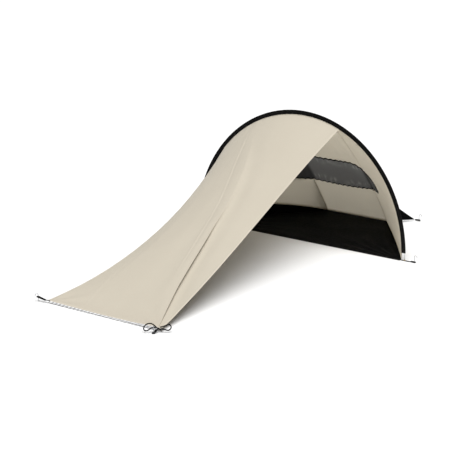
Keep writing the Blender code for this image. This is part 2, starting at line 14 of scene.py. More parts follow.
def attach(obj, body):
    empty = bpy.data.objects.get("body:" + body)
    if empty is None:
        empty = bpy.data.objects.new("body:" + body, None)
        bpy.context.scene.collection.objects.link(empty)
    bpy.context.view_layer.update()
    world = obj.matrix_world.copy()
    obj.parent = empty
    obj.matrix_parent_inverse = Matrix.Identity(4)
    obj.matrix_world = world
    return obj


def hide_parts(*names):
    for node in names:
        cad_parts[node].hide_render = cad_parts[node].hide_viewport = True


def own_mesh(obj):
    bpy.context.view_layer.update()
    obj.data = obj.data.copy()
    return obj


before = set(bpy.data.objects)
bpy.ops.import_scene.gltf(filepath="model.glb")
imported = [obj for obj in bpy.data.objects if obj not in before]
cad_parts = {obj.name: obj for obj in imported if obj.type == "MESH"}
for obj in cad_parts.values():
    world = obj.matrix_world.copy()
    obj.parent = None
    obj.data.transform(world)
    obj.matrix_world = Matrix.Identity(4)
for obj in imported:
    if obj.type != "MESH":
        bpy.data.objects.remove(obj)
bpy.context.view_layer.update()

# --- driving dimensions, as in the CAD part ------------------------------------------------
HALF_WIDTH = 1.0
HEIGHT = 1.03
LEAN = 0.05
SLEEVE_WIDTH = 0.036
SLEEVE_FOOT = 0.058
POLE_RADIUS = 0.00425
POLE_BORE = 0.0033
POLE_SECTIONS = 7
POLE_FOOT = 0.0125
POLE_INSET = 0.0065
GAP = 0.0004

REAR_DEPTH = 0.875
REAR_HALF_WIDTH = 0.29
REAR_BULGE = 0.061
FLOOR_THICKNESS = 0.0012
FLOOR_FRONT = 0.020
WALL_BASE = 0.0018
TUB_HEIGHTS = {-1: 0.095, 1: 0.025}
WINDOW_SILL = 0.307
WINDOW_HEIGHT = 0.245
WINDOW_END = 1.12
WINDOW_CLEARANCE = 0.0035

CANOPY_LEFT = radians(-50.7)
CANOPY_RIGHT = radians(21.25)
CANOPY_LENGTH = 2.389
CANOPY_HEM_HALF = 0.5115
CANOPY_HEM_CENTRE = 0.0355
CANOPY_HEM_HEIGHT = 0.020
CANOPY_CUT = (0.111, 0.026)
CANOPY_SAG = (0.102, 0.055)
CANOPY_SEAM_REAR = -0.0022

FIN_TOP = 0.315
FIN_TIP = Vector((0.463, 1.029, 0.010))
PEG_RADIUS = 0.0020
PEG_DEPTH = 0.160
PEG_NECK = 0.046
PEG_HOOK_RADIUS = 0.011
CORD_RADIUS = 0.0034
CORD_FULL = 0.0042           # the slack braid fills out past the drawn cord

SEAM_INSET = SLEEVE_WIDTH + GAP
SEAM_REAR = 0.0022
WALL_FOOT_X = HALF_WIDTH - SEAM_INSET
WALL_TIP = 0.012
CLOTH = 0.0007               # thickness of every woven cloth
HEM_WIDTH = 0.013
SEW_PITCH = 0.0036           # closer stitches where webbing is sewn down
SEW_LENGTH = 0.0026

PEGS = {
    "peg_front_left": (Vector((-0.560, -2.400, 0.0)), radians(235.0)),
    "peg_front_right": (Vector((0.534, -2.453, 0.0)), radians(305.0)),
    "peg_side_left": (Vector((-1.080, 0.0, 0.0)), radians(180.0)),
    "peg_side_right": (Vector((1.080, 0.0, 0.0)), radians(0.0)),
    "peg_rear_left": (Vector((-0.500, 1.035, 0.0)), radians(165.0)),
    "peg_rear_right": (Vector((0.500, 1.035, 0.0)), radians(15.0)),
}
UP = Vector((0.0, 0.0, 1.0))
SIDES = {1: "right", -1: "left"}


# --- camera --------------------------------------------------------------------------------

CAMERA_AIM = Vector((-0.4377, -0.3038, 0.0686))
CAMERA_AZIMUTH = radians(36.85)
CAMERA_ELEVATION = radians(15.81)
CAMERA_DISTANCE = 14.035
CAMERA_LENS = 138.5


def make_camera():
    data = bpy.data.cameras.new("camera")
    data.lens = CAMERA_LENS
    data.sensor_width = 36.0
    data.clip_start = 0.1
    data.clip_end = 300.0
    camera = bpy.data.objects.new("camera", data)
    bpy.context.scene.collection.objects.link(camera)
    back = Vector((sin(CAMERA_AZIMUTH) * cos(CAMERA_ELEVATION),
                   -cos(CAMERA_AZIMUTH) * cos(CAMERA_ELEVATION), sin(CAMERA_ELEVATION)))
    camera.location = CAMERA_AIM + back * CAMERA_DISTANCE
    camera.rotation_mode = "QUATERNION"
    camera.rotation_quaternion = (-back).to_track_quat("-Z", "Y")
    bpy.context.scene.camera = camera


# --- the shelter's geometry, as in the CAD part --------------------------------------------

HOOP_UP = Vector((0.0, LEAN, HEIGHT)).normalized()
HOOP_REAR = Vector((0.0, HOOP_UP.z, -HOOP_UP.y))
SLOPE_HEIGHT = (HEIGHT ** 2 + LEAN ** 2) ** 0.5


def hoop_outward(angle):
    """Unit normal of the hoop's outline in its plane; angle is 0 at the apex, + towards +X."""
    across = sin(angle) / HALF_WIDTH
    up = cos(angle) / SLOPE_HEIGHT
    return (Vector((1, 0, 0)) * across + HOOP_UP * up).normalized()


def hoop_point(angle, inset=0.0, rear=0.0):
    edge = Vector((1, 0, 0)) * HALF_WIDTH * sin(angle) + HOOP_UP * SLOPE_HEIGHT * cos(angle)
    return edge - hoop_outward(angle) * inset + HOOP_REAR * rear


def hoop_angle_at(height, inset=0.0):
    """The angle, on the +X side, where the inset outline stands at this height."""
    low, high = 0.0, pi / 2
    for _ in range(50):
        middle = (low + high) / 2
        if hoop_point(middle, inset).z > height:
            low = middle
        else:
            high = middle
    return low


CORNER_ANGLE = asin(REAR_HALF_WIDTH / WALL_FOOT_X)
FOOT_ANGLE = hoop_angle_at(WALL_TIP, SEAM_INSET)


def wall_ends(column):
    """Lower and upper end of a wall column. Columns -1 to 1 are the rear wall, and each
    side wall runs on to 2, at the foot of the hoop."""
    sign = 1.0 if column >= 0 else -1.0
    reach = abs(column)
    if reach <= 1.0:
        across = REAR_HALF_WIDTH * reach
        base = Vector((across, REAR_DEPTH, WALL_BASE))
        angle = asin(across / WALL_FOOT_X)
    else:
        share = reach - 1.0
        base = Vector((REAR_HALF_WIDTH + (WALL_FOOT_X - REAR_HALF_WIDTH) * share,
                       REAR_DEPTH * (1 - share) + 0.003 * share, WALL_BASE))
        angle = CORNER_ANGLE + (FOOT_ANGLE - CORNER_ANGLE) * share
    return sign, base, hoop_point(angle, SEAM_INSET, SEAM_REAR)


def wall_point(column, height):
    """The point of the rear enclosure in this column, at this height over the ground."""
    sign, base, top = wall_ends(column)
    share = (height - base.z) / (top.z - base.z)
    beyond = max(0.0, abs(column) - 1.0)
    turn = min(1.0, 3 * beyond)
    outward = Vector((0.776 * turn, 1.0 - 0.37 * turn, 0.0))
    point = base.lerp(top, share)
    point += outward * REAR_BULGE * (1 - beyond) * 4 * share * (1 - share)
    return Vector((sign * point.x, point.y, point.z))


def wall_top(column):
    return wall_ends(column)[2].z


def wall_inward(column, height):
    """Unit normal of the enclosure, towards its inside."""
    step = 0.004
    around = wall_point(column + step, height) - wall_point(column - step, height)
    rise = wall_point(column, height + step) - wall_point(column, height - step)
    return around.cross(rise).normalized()


def tub_height(column):
    """Height of the floor's raised side; column is negative on the left."""
    height = TUB_HEIGHTS[-1 if column < 0 else 1]
    beyond = max(0.0, abs(column) - 1.0)
    return WALL_BASE + 0.0030 + height * sin(pi * min(beyond, 1.0)) ** 0.9


def window_end(step):
    return WINDOW_END + WINDOW_CLEARANCE * step


def window_sill(column, step):
    return WINDOW_SILL + 0.018 * column ** 2 - WINDOW_CLEARANCE * step


def window_head(column, step):
    """Upper edge of the window outline. step is 1 for the hole in the walls, 0 for the
    binding and -1 for the mesh."""
    share = min(1.0, abs(column) / window_end(step))
    rise = (WINDOW_HEIGHT + 2 * WINDOW_CLEARANCE * step) * max(0.0, 1 - share ** 6) ** 0.5
    return window_sill(column, step) + rise


def canopy_point(across, along):
    """across runs from the left edge to the right one, along from the hoop to the hem."""
    angle = CANOPY_LEFT + (CANOPY_RIGHT - CANOPY_LEFT) * across
    top = hoop_point(angle, SEAM_INSET, CANOPY_SEAM_REAR)
    hem = Vector((CANOPY_HEM_CENTRE + CANOPY_HEM_HALF * (2 * across - 1), -CANOPY_LENGTH,
                  CANOPY_HEM_HEIGHT))
    point = top.lerp(hem, along)
    even = 4 * along * (1 - along)
    late = 6.75 * along ** 2 * (1 - along)
    point.x += (CANOPY_CUT[0] * (1 - across) - CANOPY_CUT[1] * across) * even
    point.z -= CANOPY_SAG[0] * (1 - across) * even + CANOPY_SAG[1] * across * late
    point.z -= 0.006 * sin(pi * across) * along ** 4
    return point


def canopy_up(across, along):
    """Unit normal of the canopy, away from the ground."""
    step = 0.004
    side = canopy_point(across + step, along) - canopy_point(across - step, along)
    down = canopy_point(across, along + step) - canopy_point(across, along - step)
    return down.cross(side).normalized()


# --- small helpers -------------------------------------------------------------------------


def smooth(value):
    value = min(max(value, 0.0), 1.0)
    return value * value * (3 - 2 * value)


def bell(distance, width):
    return exp(-(distance / width) ** 2)


def between(low, high, count):
    return [low + (high - low) * k / count for k in range(count + 1)]


def denser_at_ends(count):
    """Shares from 0 to 1 that lie closer together near both ends."""
    return [0.5 - 0.5 * cos(pi * k / count) for k in range(count + 1)]


def curve_through(knots, x):
    """Height at x of a smooth curve through (x, y) knots."""
    last = len(knots) - 1
    k = 0
    while k < last - 1 and x > knots[k + 1][0]:
        k += 1

    def slope(i):
        before, after = knots[max(i - 1, 0)], knots[min(i + 1, last)]
        return (after[1] - before[1]) / (after[0] - before[0])

    (x0, y0), (x1, y1) = knots[k], knots[k + 1]
    span = x1 - x0
    t = min(max((x - x0) / span, 0.0), 1.0)
    start = (1 + 2 * t) * (1 - t) ** 2 * y0 + t * (1 - t) ** 2 * span * slope(k)
    return start + t * t * (3 - 2 * t) * y1 + t * t * (t - 1) * span * slope(k + 1)


def smooth_path(points, spacing):
    """Evenly spaced points on a Catmull-Rom curve through the given ones."""
    points = [Vector(point) for point in points]
    padded = [2 * points[0] - points[1], *points, 2 * points[-1] - points[-2]]
    dense = []
    for a, b, c, d in zip(padded, padded[1:], padded[2:], padded[3:]):
        for step in range(24):
            t = step / 24
            dense.append(0.5 * (2 * b + (c - a) * t + (2 * a - 5 * b + 4 * c - d) * t * t
                                + (3 * b - a - 3 * c + d) * t ** 3))
    dense.append(points[-1])
    return even_path(dense, spacing)


def even_path(dense, spacing):
    """The same line with evenly spaced points."""
    lengths = [0.0]
    for a, b in zip(dense, dense[1:]):
        lengths.append(lengths[-1] + (b - a).length)
    count = max(2, round(lengths[-1] / spacing))
    path = []
    k = 0
    for step in range(count + 1):
        target = lengths[-1] * step / count
        while k < len(dense) - 2 and lengths[k + 1] < target:
            k += 1
        share = (target - lengths[k]) / max(lengths[k + 1] - lengths[k], 1e-9)
        path.append(dense[k].lerp(dense[k + 1], min(share, 1.0)))
    return path


def folds(point, scale, seed):
    """Smooth noise from -1 to 1, a new pattern for each seed."""
    return noise.noise(Vector((point[0] * scale[0] + seed * 7.3,
                               point[1] * scale[1] - seed * 3.1, seed * 1.7)))


# --- building meshes -----------------------------------------------------------------------


class Shape:
    """Vertices, faces, metric UVs, per-point marks and material numbers of one object. The marks
    are worn marks, and painted highlight and painted shade on the window netting.
    """

    def __init__(self):
        self.points = []
        self.wear_and_painted_light = []
        self.faces = []
        self.uvs = []
        self.numbers = []

    def add_point(self, point, wear_and_painted_light=0.0):
        self.points.append(Vector(point))
        self.wear_and_painted_light.append(wear_and_painted_light)
        return len(self.points) - 1

    def add_face(self, corners, uvs, number=0):
        self.faces.append(corners)
        self.uvs.append(uvs)
        self.numbers.append(number)

    def grid(self, rows, number=0, wear_and_painted_light=None, skip=None, ring=False):
        """A sheet on rows of points. Its UVs are metres along and across the rows."""
        indices = []
        for i, row in enumerate(rows):
            indices.append([self.add_point(point, wear_and_painted_light(i, j) if wear_and_painted_light else 0.0)
                            for j, point in enumerate(row)])
        along = [[0.0] for _ in rows]
        for i, row in enumerate(rows):
            for a, b in zip(row, row[1:]):
                along[i].append(along[i][-1] + (b - a).length)
        across = [[0.0] * len(rows[0])]
        for a, b in zip(rows, rows[1:]):
            across.append([across[-1][j] + (b[j] - a[j]).length for j in range(len(a))])
        count = len(rows) if ring else len(rows) - 1
        for i in range(count):
            n = (i + 1) % len(rows)
            for j in range(len(rows[0]) - 1):
                if skip and skip(i, j):
                    continue
                far = across[n][j] if n else across[i][j] + (rows[0][j] - rows[i][j]).length
                uvs = [(along[i][j], across[i][j]), (along[n][j], far),
                       (along[n][j + 1], far), (along[i][j + 1], across[i][j + 1])]
                corners = [indices[i][j], indices[n][j], indices[n][j + 1], indices[i][j + 1]]
                self.add_face(corners, uvs, number)

    def tube(self, points, radius, sides=12, closed=False, wear_and_painted_light=None, capped=True):
        """A round bar along points. U is the share of the turn and V metres along it."""
        radii = radius if isinstance(radius, list) else [radius] * len(points)
        frames = turning_frames(points, closed)
        rings = []
        for k, (place, (side, up)) in enumerate(zip(points, frames)):
            worn = wear_and_painted_light(k) if wear_and_painted_light else 0.0
            ring = []
            for s in range(sides):
                angle = 2 * pi * s / sides
                way = side * cos(angle) + up * sin(angle)
                ring.append(self.add_point(place + way * radii[k], worn))
            rings.append(ring)
        travelled = 0.0
        pairs = list(zip(range(len(points) - 1), range(1, len(points))))
        if closed:
            pairs.append((len(points) - 1, 0))
        for a, b in pairs:
            step = (points[b] - points[a]).length
            for s in range(sides):
                n = (s + 1) % sides
                u0, u1 = s / sides, (s + 1) / sides
                self.add_face([rings[a][s], rings[a][n], rings[b][n], rings[b][s]],
                              [(u0, travelled), (u1, travelled), (u1, travelled + step),
                               (u0, travelled + step)])
            travelled += step
        if capped and not closed:
            for ring in (rings[0], rings[-1]):
                self.add_face(ring[::-1], [(0.0, 0.0)] * sides)
        return rings

    def sew_down(self, start, end):
        """A straight row of close stitches on top of webbing, in material 1."""
        line = between_points(start, end, 8)
        self.stitches(line, [UP] * len(line), 1, pitch=SEW_PITCH, length=SEW_LENGTH)

    def stitches(self, points, normals, number, length=0.0034, pitch=0.0048, width=0.0009,
                 rise=0.0005):
        """A row of short raised threads along a line of points."""
        places = even_path(points, pitch)
        count = len(points) - 1
        for k in range(len(places) - 1):
            normal = normals[min(round(k / (len(places) - 1) * count), count)]
            ahead = (places[k + 1] - places[k]).normalized()
            side = normal.cross(ahead).normalized() * width / 2
            start = places[k] + normal * 0.0001
            end = start + ahead * length
            middle = (start + end) / 2 + normal * rise
            corners = [self.add_point(p) for p in (start - side * 0.5, start + side * 0.5,
                                                   middle + side - normal * rise,
                                                   end + side * 0.5, end - side * 0.5,
                                                   middle - side - normal * rise, middle)]
            flat = [(0.0, 0.0)] * 3
            for a in range(6):
                self.add_face([corners[a], corners[(a + 1) % 6], corners[6]], flat, number)
            self.add_face([corners[5 - a] for a in range(6)], [(0.0, 0.0)] * 6, number)


def turning_frames(points, closed=False):
    """For each point the side and up directions of a frame that doesn't spin."""
    count = len(points)
    tangents = []
    for k in range(count):
        before = points[k - 1] if closed or k > 0 else points[0]
        after = points[(k + 1) % count] if closed or k < count - 1 else points[-1]
        tangents.append((after - before).normalized())
    side = tangents[0].orthogonal().normalized()
    frames = []
    for tangent in tangents:
        side = (side - tangent * side.dot(tangent)).normalized()
        frames.append((side, tangent.cross(side)))
    return frames


def make_piece(name, shape, materials, body, slot, *nodes, thickness=0.0, sharp=None):
    """A visible piece that moves with the body and stands for the CAD nodes, which it hides. The
    slot argument is not used."""
    mesh = bpy.data.meshes.new(name)
    mesh.from_pydata(shape.points, [], shape.faces)
    layer = mesh.uv_layers.new(name="UVMap")
    layer.data.foreach_set("uv", [value for face in shape.uvs for uv in face for value in uv])
    mesh.polygons.foreach_set("material_index", shape.numbers)
    # per-point marks: worn marks and dust, and painted highlight and painted shade on the window
    # netting
    worn = mesh.attributes.new("wear_and_painted_light", "FLOAT", "POINT")
    worn.data.foreach_set("value", shape.wear_and_painted_light)
    for material in materials:
        mesh.materials.append(material)
    bm = bmesh.new()
    bm.from_mesh(mesh)
    bmesh.ops.remove_doubles(bm, verts=bm.verts, dist=1e-6)
    bmesh.ops.dissolve_degenerate(bm, edges=bm.edges, dist=1e-7)
    bm.to_mesh(mesh)
    bm.free()
    mesh.shade_smooth()
    if sharp:
        mesh.set_sharp_from_angle(angle=radians(sharp))
    piece = bpy.data.objects.new(name, mesh)
    bpy.context.scene.collection.objects.link(piece)
    if thickness:
        solid = piece.modifiers.new("thickness", "SOLIDIFY")
        solid.thickness = thickness
        solid.offset = 0.0
    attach(piece, body)
    if nodes:
        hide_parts(*nodes)
    return piece


def strip(path, sideways, normals, width, lift, crown=0.0003):
    """Rows of a narrow tape: its middle follows path, lifted off the cloth by lift."""
    rows = []
    for point, side, normal in zip(path, sideways, normals):
        row = []
        for share in (-1.0, -0.96, -0.5, 0.0, 0.5, 0.96, 1.0):
            height = 0.0 if abs(share) == 1.0 else lift + crown * (1 - share * share)
            row.append(point + side * width / 2 * share + normal * height)
        rows.append(row)
    return rows


# --- materials -----------------------------------------------------------------------------


class Nodes:
    """A material with short ways of adding nodes to it."""

    def __init__(self, name, roughness, metallic=0.0, **constants):
        self.material = bpy.data.materials.new(name)
        self.material.use_nodes = True
        self.tree = self.material.node_tree
        self.shader = self.tree.nodes["Principled BSDF"]
        self.shader.inputs["Roughness"].default_value = roughness
        self.shader.inputs["Metallic"].default_value = metallic
        for key, value in constants.items():
            self.shader.inputs[key.replace("_", " ")].default_value = value

    def add(self, kind, settings=None, **inputs):
        made = self.tree.nodes.new(kind)
        for key, value in (settings or {}).items():
            setattr(made, key, value)
        for key, value in inputs.items():
            socket = made.inputs[int(key[1:]) if key[0] == "n" and key[1:].isdigit() else key]
            if isinstance(value, bpy.types.NodeSocket):
                self.tree.links.new(value, socket)
            else:
                socket.default_value = value
        return made

    def math(self, operation, a, b=0.0, c=0.0):
        return self.add("ShaderNodeMath", {"operation": operation}, n0=a, n1=b, n2=c).outputs[0]

    def uv(self):
        split = self.add("ShaderNodeSeparateXYZ", None,
                         n0=self.add("ShaderNodeTexCoord").outputs["UV"])
        return split.outputs[0], split.outputs[1]

    def place(self):
        return self.add("ShaderNodeTexCoord").outputs["Object"]

    def noise(self, scale, detail=3.0, roughness=0.5, vector=None):
        made = self.add("ShaderNodeTexNoise", None, Scale=scale, Detail=detail,
                        Roughness=roughness, Vector=vector or self.place())
        return made.outputs["Fac"]

    def wave(self, coordinate, pitch, phase=0.0):
        """A sine over a coordinate in metres, from -1 to 1."""
        turned = self.math("MULTIPLY_ADD", coordinate, 2 * pi / pitch, phase)
        return self.math("SINE", turned)

    def span(self, value, low, high, new_low, new_high):
        return self.add("ShaderNodeMapRange", None, n0=value, n1=low, n2=high, n3=new_low,
                        n4=new_high).outputs[0]

    def mix(self, share, a, b):
        made = self.add("ShaderNodeMix", {"data_type": "RGBA"})
        for index, value in ((0, share), (6, a), (7, b)):
            if isinstance(value, bpy.types.NodeSocket):
                self.tree.links.new(value, made.inputs[index])
            elif index:
                made.inputs[index].default_value = (*value, 1.0)
            else:
                made.inputs[index].default_value = value
        return made.outputs[2]

    def mottled(self, value, dark, light):
        """From one colour to the other as a noise goes from 0.3 to 0.7."""
        return self.mix(self.span(value, 0.3, 0.7, 0.0, 1.0), dark, light)

    def wear_and_painted_light(self):
        return self.add("ShaderNodeAttribute", {"attribute_name": "wear_and_painted_light"}).outputs["Fac"]

    def bump(self, height, distance, strength, below=None):
        made = self.add("ShaderNodeBump", None, Height=height, Distance=distance,
                        Strength=strength)
        if below:
            self.tree.links.new(below, made.inputs["Normal"])
        return made.outputs["Normal"]

    def let_light_through(self, share, colour):
        """Thin cloth: a share of the light that falls on it comes out on the other side."""
        through = self.add("ShaderNodeBsdfTranslucent", None, Color=(*colour, 1.0))
        mixed = self.add("ShaderNodeMixShader", None, n0=share, n1=self.shader.outputs[0],
                         n2=through.outputs[0])
        self.tree.links.new(mixed.outputs[0], self.tree.nodes["Material Output"].inputs[0])

    def finish(self, colour, roughness=None, normal=None):
        self.tree.links.new(colour, self.shader.inputs["Base Color"])
        if roughness:
            self.tree.links.new(roughness, self.shader.inputs["Roughness"])
        if normal:
            self.tree.links.new(normal, self.shader.inputs["Normal"])
        return self.material


def woven_cloth(name, light, dark, dust, thread=0.0011, roughness=0.82, sheen=0.2, weave=0.25,
                ripstop=0.0, specular=0.3, glow=0.0):
    """Plain-weave cloth: over-and-under threads, slubs, faint creases, dust where worn."""
    nodes = Nodes(name, roughness, Sheen_Weight=sheen, Sheen_Roughness=0.45,
                  Specular_IOR_Level=specular)
    u, v = nodes.uv()
    threads = nodes.math("MULTIPLY", nodes.wave(u, 2 * thread), nodes.wave(v, 2 * thread))
    slub = nodes.add("ShaderNodeCombineXYZ", None, n0=nodes.math("MULTIPLY", u, 900.0),
                     n1=nodes.math("MULTIPLY", v, 60.0)).outputs[0]
    slubs = nodes.noise(1.0, 2.0, 0.6, slub)
    cloud = nodes.noise(2.3, 5.0, 0.6)
    fine = nodes.noise(46.0, 3.0, 0.55)
    shade = nodes.math("MULTIPLY_ADD", slubs, 0.35, nodes.math("MULTIPLY", cloud, 0.65))
    colour = nodes.mottled(shade, dark, light)
    mark = nodes.math("MULTIPLY", nodes.wear_and_painted_light(), nodes.span(fine, 0.35, 0.7, 0.15, 0.9))
    colour = nodes.mix(mark, colour, dust)
    rough = nodes.span(fine, 0.3, 0.7, roughness - 0.06, roughness + 0.06)
    height = threads
    if ripstop:
        grid = nodes.math("MAXIMUM", nodes.wave(u, ripstop), nodes.wave(v, ripstop))
        height = nodes.math("MULTIPLY_ADD", nodes.math("POWER", nodes.math("ABSOLUTE", grid), 24.0),
                            1.6, threads)
    creased = nodes.bump(nodes.noise(9.0, 4.0, 0.6), 0.0016, 0.22)
    normal = nodes.bump(height, 0.00018, weave, creased)
    nodes.finish(colour, rough, normal)
    if glow:
        nodes.let_light_through(glow, (0.95, 0.92, 0.84))
    return nodes.material


def netting_cloth():
    """Fine insect netting. The holes let light through evenly, the threads are a bump."""
    nodes = Nodes("mesh_cloth", 0.7, Alpha=0.95, Sheen_Weight=0.25, Sheen_Roughness=0.5)
    u, v = nodes.uv()
    crossed = nodes.math("MAXIMUM", nodes.wave(nodes.math("ADD", u, v), 0.0022),
                         nodes.wave(nodes.math("SUBTRACT", u, v), 0.0022))
    cloud = nodes.noise(5.0, 4.0, 0.55)
    colour = nodes.mottled(cloud, (0.225, 0.226, 0.230), (0.265, 0.266, 0.270))
    colour = nodes.mix(nodes.span(crossed, 0.2, 1.0, 0.0, 0.35), colour, (0.33, 0.33, 0.33))
    # painted light: pale grey is a painted highlight on the gathers along the tape, near black is
    # painted shade in the window's pointed ends
    painted_light_and_shade = nodes.wear_and_painted_light()
    colour = nodes.mix(nodes.span(painted_light_and_shade, 0.0, 1.0, 0.0, 0.8), colour, (0.62, 0.62, 0.62))
    colour = nodes.mix(nodes.span(painted_light_and_shade, 0.0, -1.0, 0.0, 1.0), colour, (0.020, 0.020, 0.020))
    return nodes.finish(colour, None, nodes.bump(crossed, 0.0003, 0.35))


def edging_tape_painted_shadow():
    """White ribbon crossed by slanting grey dashes, which are painted shadow."""
    nodes = Nodes("edging_tape_painted_shadow", 0.8, Sheen_Weight=0.2, Sheen_Roughness=0.5)
    u, v = nodes.uv()
    # painted shadow: grey slanting dashes on the white ribbon stand for the shadow band under the
    # hem
    painted_shadow_dash = nodes.wave(nodes.math("ADD", u, v), 0.034)
    ribs = nodes.wave(u, 0.0016)
    cloud = nodes.noise(30.0, 3.0, 0.6)
    colour = nodes.mix(nodes.span(painted_shadow_dash, 0.15, 0.35, 0.0, 1.0), (0.80, 0.80, 0.80),
                       (0.40, 0.40, 0.41))
    colour = nodes.mix(nodes.math("MULTIPLY", cloud, 0.15), colour, (0.55, 0.53, 0.50))
    return nodes.finish(colour, nodes.span(cloud, 0.3, 0.7, 0.7, 0.88),
                        nodes.bump(ribs, 0.0003, 0.5))


def webbing():
    """Woven tape: herringbone ribs that turn at the middle, a paler worn edge."""
    nodes = Nodes("webbing", 0.75, Sheen_Weight=0.3, Sheen_Roughness=0.5)
    u, v = nodes.uv()
    chevron = nodes.math("PINGPONG", u, 0.004)
    ribs = nodes.wave(nodes.math("ADD", v, chevron), 0.0021)
    fine = nodes.noise(180.0, 3.0, 0.6)
    colour = nodes.mix(nodes.span(ribs, -0.6, 1.0, 0.0, 1.0), (0.009, 0.009, 0.009),
                       (0.024, 0.024, 0.024))
    worn = nodes.math("MULTIPLY", nodes.wear_and_painted_light(), nodes.span(fine, 0.35, 0.65, 0.2, 0.8))
    colour = nodes.mix(worn, colour, (0.075, 0.070, 0.062))
    return nodes.finish(colour, nodes.span(fine, 0.3, 0.7, 0.68, 0.82),
                        nodes.bump(ribs, 0.0004, 0.6))


def braided_cord(name, dark, light):
    """Sixteen strands laid in both directions round the cord."""
    nodes = Nodes(name, 0.8, Sheen_Weight=0.01, Sheen_Roughness=0.5, Specular_IOR_Level=0.08)
    u, v = nodes.uv()
    lay = nodes.math("MULTIPLY", v, 1 / 0.0075)
    right = nodes.wave(nodes.math("MULTIPLY_ADD", u, 4.0, lay), 1.0)
    left = nodes.wave(nodes.math("MULTIPLY_ADD", u, 4.0, nodes.math("MULTIPLY", lay, -1.0)), 1.0)
    strands = nodes.math("MULTIPLY", right, left)
    fuzz = nodes.noise(400.0, 2.0, 0.6)
    colour = nodes.mix(nodes.span(strands, -1.0, 1.0, 0.0, 1.0), dark, light)
    colour = nodes.mix(nodes.math("MULTIPLY", fuzz, 0.10), colour, (0.06, 0.058, 0.055))
    return nodes.finish(colour, nodes.span(fuzz, 0.3, 0.7, 0.62, 0.8),
                        nodes.bump(strands, 0.0005, 0.7))


def sewing_thread(name, colour):
    nodes = Nodes(name, 0.6, Sheen_Weight=0.3)
    twist = nodes.noise(900.0, 2.0, 0.5)
    paler = tuple(min(1.0, value * 1.35 + 0.01) for value in colour)
    return nodes.finish(nodes.mottled(twist, colour, paler))


def drawn_metal(name, dark, light, roughness, stain, scratches=0.35, metallic=1.0):
    """Metal with fine lengthwise scratches, a cloudy finish and stains where worn."""
    nodes = Nodes(name, roughness, metallic)
    u, v = nodes.uv()
    line = nodes.add("ShaderNodeCombineXYZ", None, n0=nodes.math("MULTIPLY", u, 30.0),
                     n1=nodes.math("MULTIPLY", v, 35.0)).outputs[0]
    scratch = nodes.noise(1.0, 4.0, 0.65, line)
    cloud = nodes.noise(60.0, 3.0, 0.6)
    colour = nodes.mottled(cloud, dark, light)
    worn = nodes.math("MULTIPLY", nodes.wear_and_painted_light(), nodes.span(cloud, 0.35, 0.6, 0.1, 1.0))
    colour = nodes.mix(worn, colour, stain)
    rough = nodes.span(scratch, 0.3, 0.7, roughness - 0.08, roughness + 0.12)
    return nodes.finish(colour, rough, nodes.bump(scratch, 0.00008, scratches))


def make_materials():
    beige = (0.490, 0.446, 0.366)
    return {
        "canopy": woven_cloth("canopy_cloth", beige, (0.466, 0.423, 0.346), (0.41, 0.36, 0.29),
                              sheen=0.08),
        "wall": woven_cloth("wall_cloth", (0.78, 0.72, 0.60), (0.74, 0.68, 0.57),
                            (0.60, 0.53, 0.42), sheen=0.05, glow=0.5),
        "hem": woven_cloth("hem_cloth", (0.515, 0.470, 0.388), (0.485, 0.442, 0.363),
                           (0.42, 0.37, 0.30), thread=0.0009, sheen=0.05),
        "floor": woven_cloth("floor_cloth", (0.0024, 0.0025, 0.0026), (0.0015, 0.0016, 0.0017),
                             (0.008, 0.008, 0.008), roughness=0.7, sheen=0.0, weave=0.2,
                             ripstop=0.010, specular=0.05),
        "sleeve": woven_cloth("sleeve_cloth", (0.0058, 0.0058, 0.0057),
                              (0.0038, 0.0038, 0.0037), (0.022, 0.021, 0.019),
                              roughness=0.8, sheen=0.01, weave=0.3, specular=0.06),
        "edging": edging_tape_painted_shadow(),
        "mesh": netting_cloth(),
        "webbing": webbing(),
        "cord": braided_cord("cord", (0.003, 0.003, 0.003), (0.009, 0.009, 0.009)),
        "elastic": braided_cord("elastic", (0.62, 0.62, 0.60), (0.82, 0.82, 0.80)),
        "beige_thread": sewing_thread("beige_thread", (0.50, 0.45, 0.37)),
        "black_thread": sewing_thread("black_thread", (0.020, 0.020, 0.020)),
        "pole": drawn_metal("pole", (0.66, 0.67, 0.68), (0.78, 0.79, 0.80), 0.36,
                            (0.45, 0.44, 0.42)),
        "steel": drawn_metal("steel", (0.36, 0.37, 0.38), (0.46, 0.47, 0.48), 0.34,
                             (0.20, 0.17, 0.13)),
        "brass": drawn_metal("brass", (0.50, 0.36, 0.16), (0.72, 0.56, 0.30), 0.34,
                             (0.25, 0.17, 0.08), 0.2),
    }


# --- the front canopy ----------------------------------------------------------------------

# lines over the canopy as (along, across): a packing crease on the left, one beside the
# pleat, and the pleat that runs from under the hoop to the tied corner
LEFT_CREASE = [(0.0, 0.130), (0.20, 0.155), (0.52, 0.150), (0.76, 0.150), (1.0, 0.300)]
MIDDLE_CREASE = [(0.0, 0.290), (0.19, 0.390), (0.31, 0.475), (0.43, 0.557), (0.62, 0.650),
                 (0.75, 0.715), (0.90, 0.800), (1.0, 0.850)]
PLEAT = [(0.0, 0.370), (0.11, 0.425), (0.20, 0.500), (0.29, 0.572), (0.43, 0.648),
         (0.62, 0.705), (0.80, 0.790), (0.90, 0.868), (1.0, 0.962)]
PLEAT_HEIGHT = [(0.0, 0.0), (0.12, 0.002), (0.30, 0.009), (0.45, 0.0125), (0.62, 0.0150),
                (0.80, 0.0145), (0.93, 0.011), (1.0, 0.006)]
PLEAT_OVERLAP = [(0.0, 0.2), (0.35, 0.4), (0.50, 0.9), (0.62, 2.3), (0.95, 2.5), (1.0, 1.6)]
CANOPY_ROWS = 190


def canopy_lines(along):
    return [0.0, curve_through(LEFT_CREASE, along), curve_through(MIDDLE_CREASE, along),
            curve_through(PLEAT, along), 1.0]


def canopy_width(along):
    return 1.19 * (1 - along) + 1.02 * along


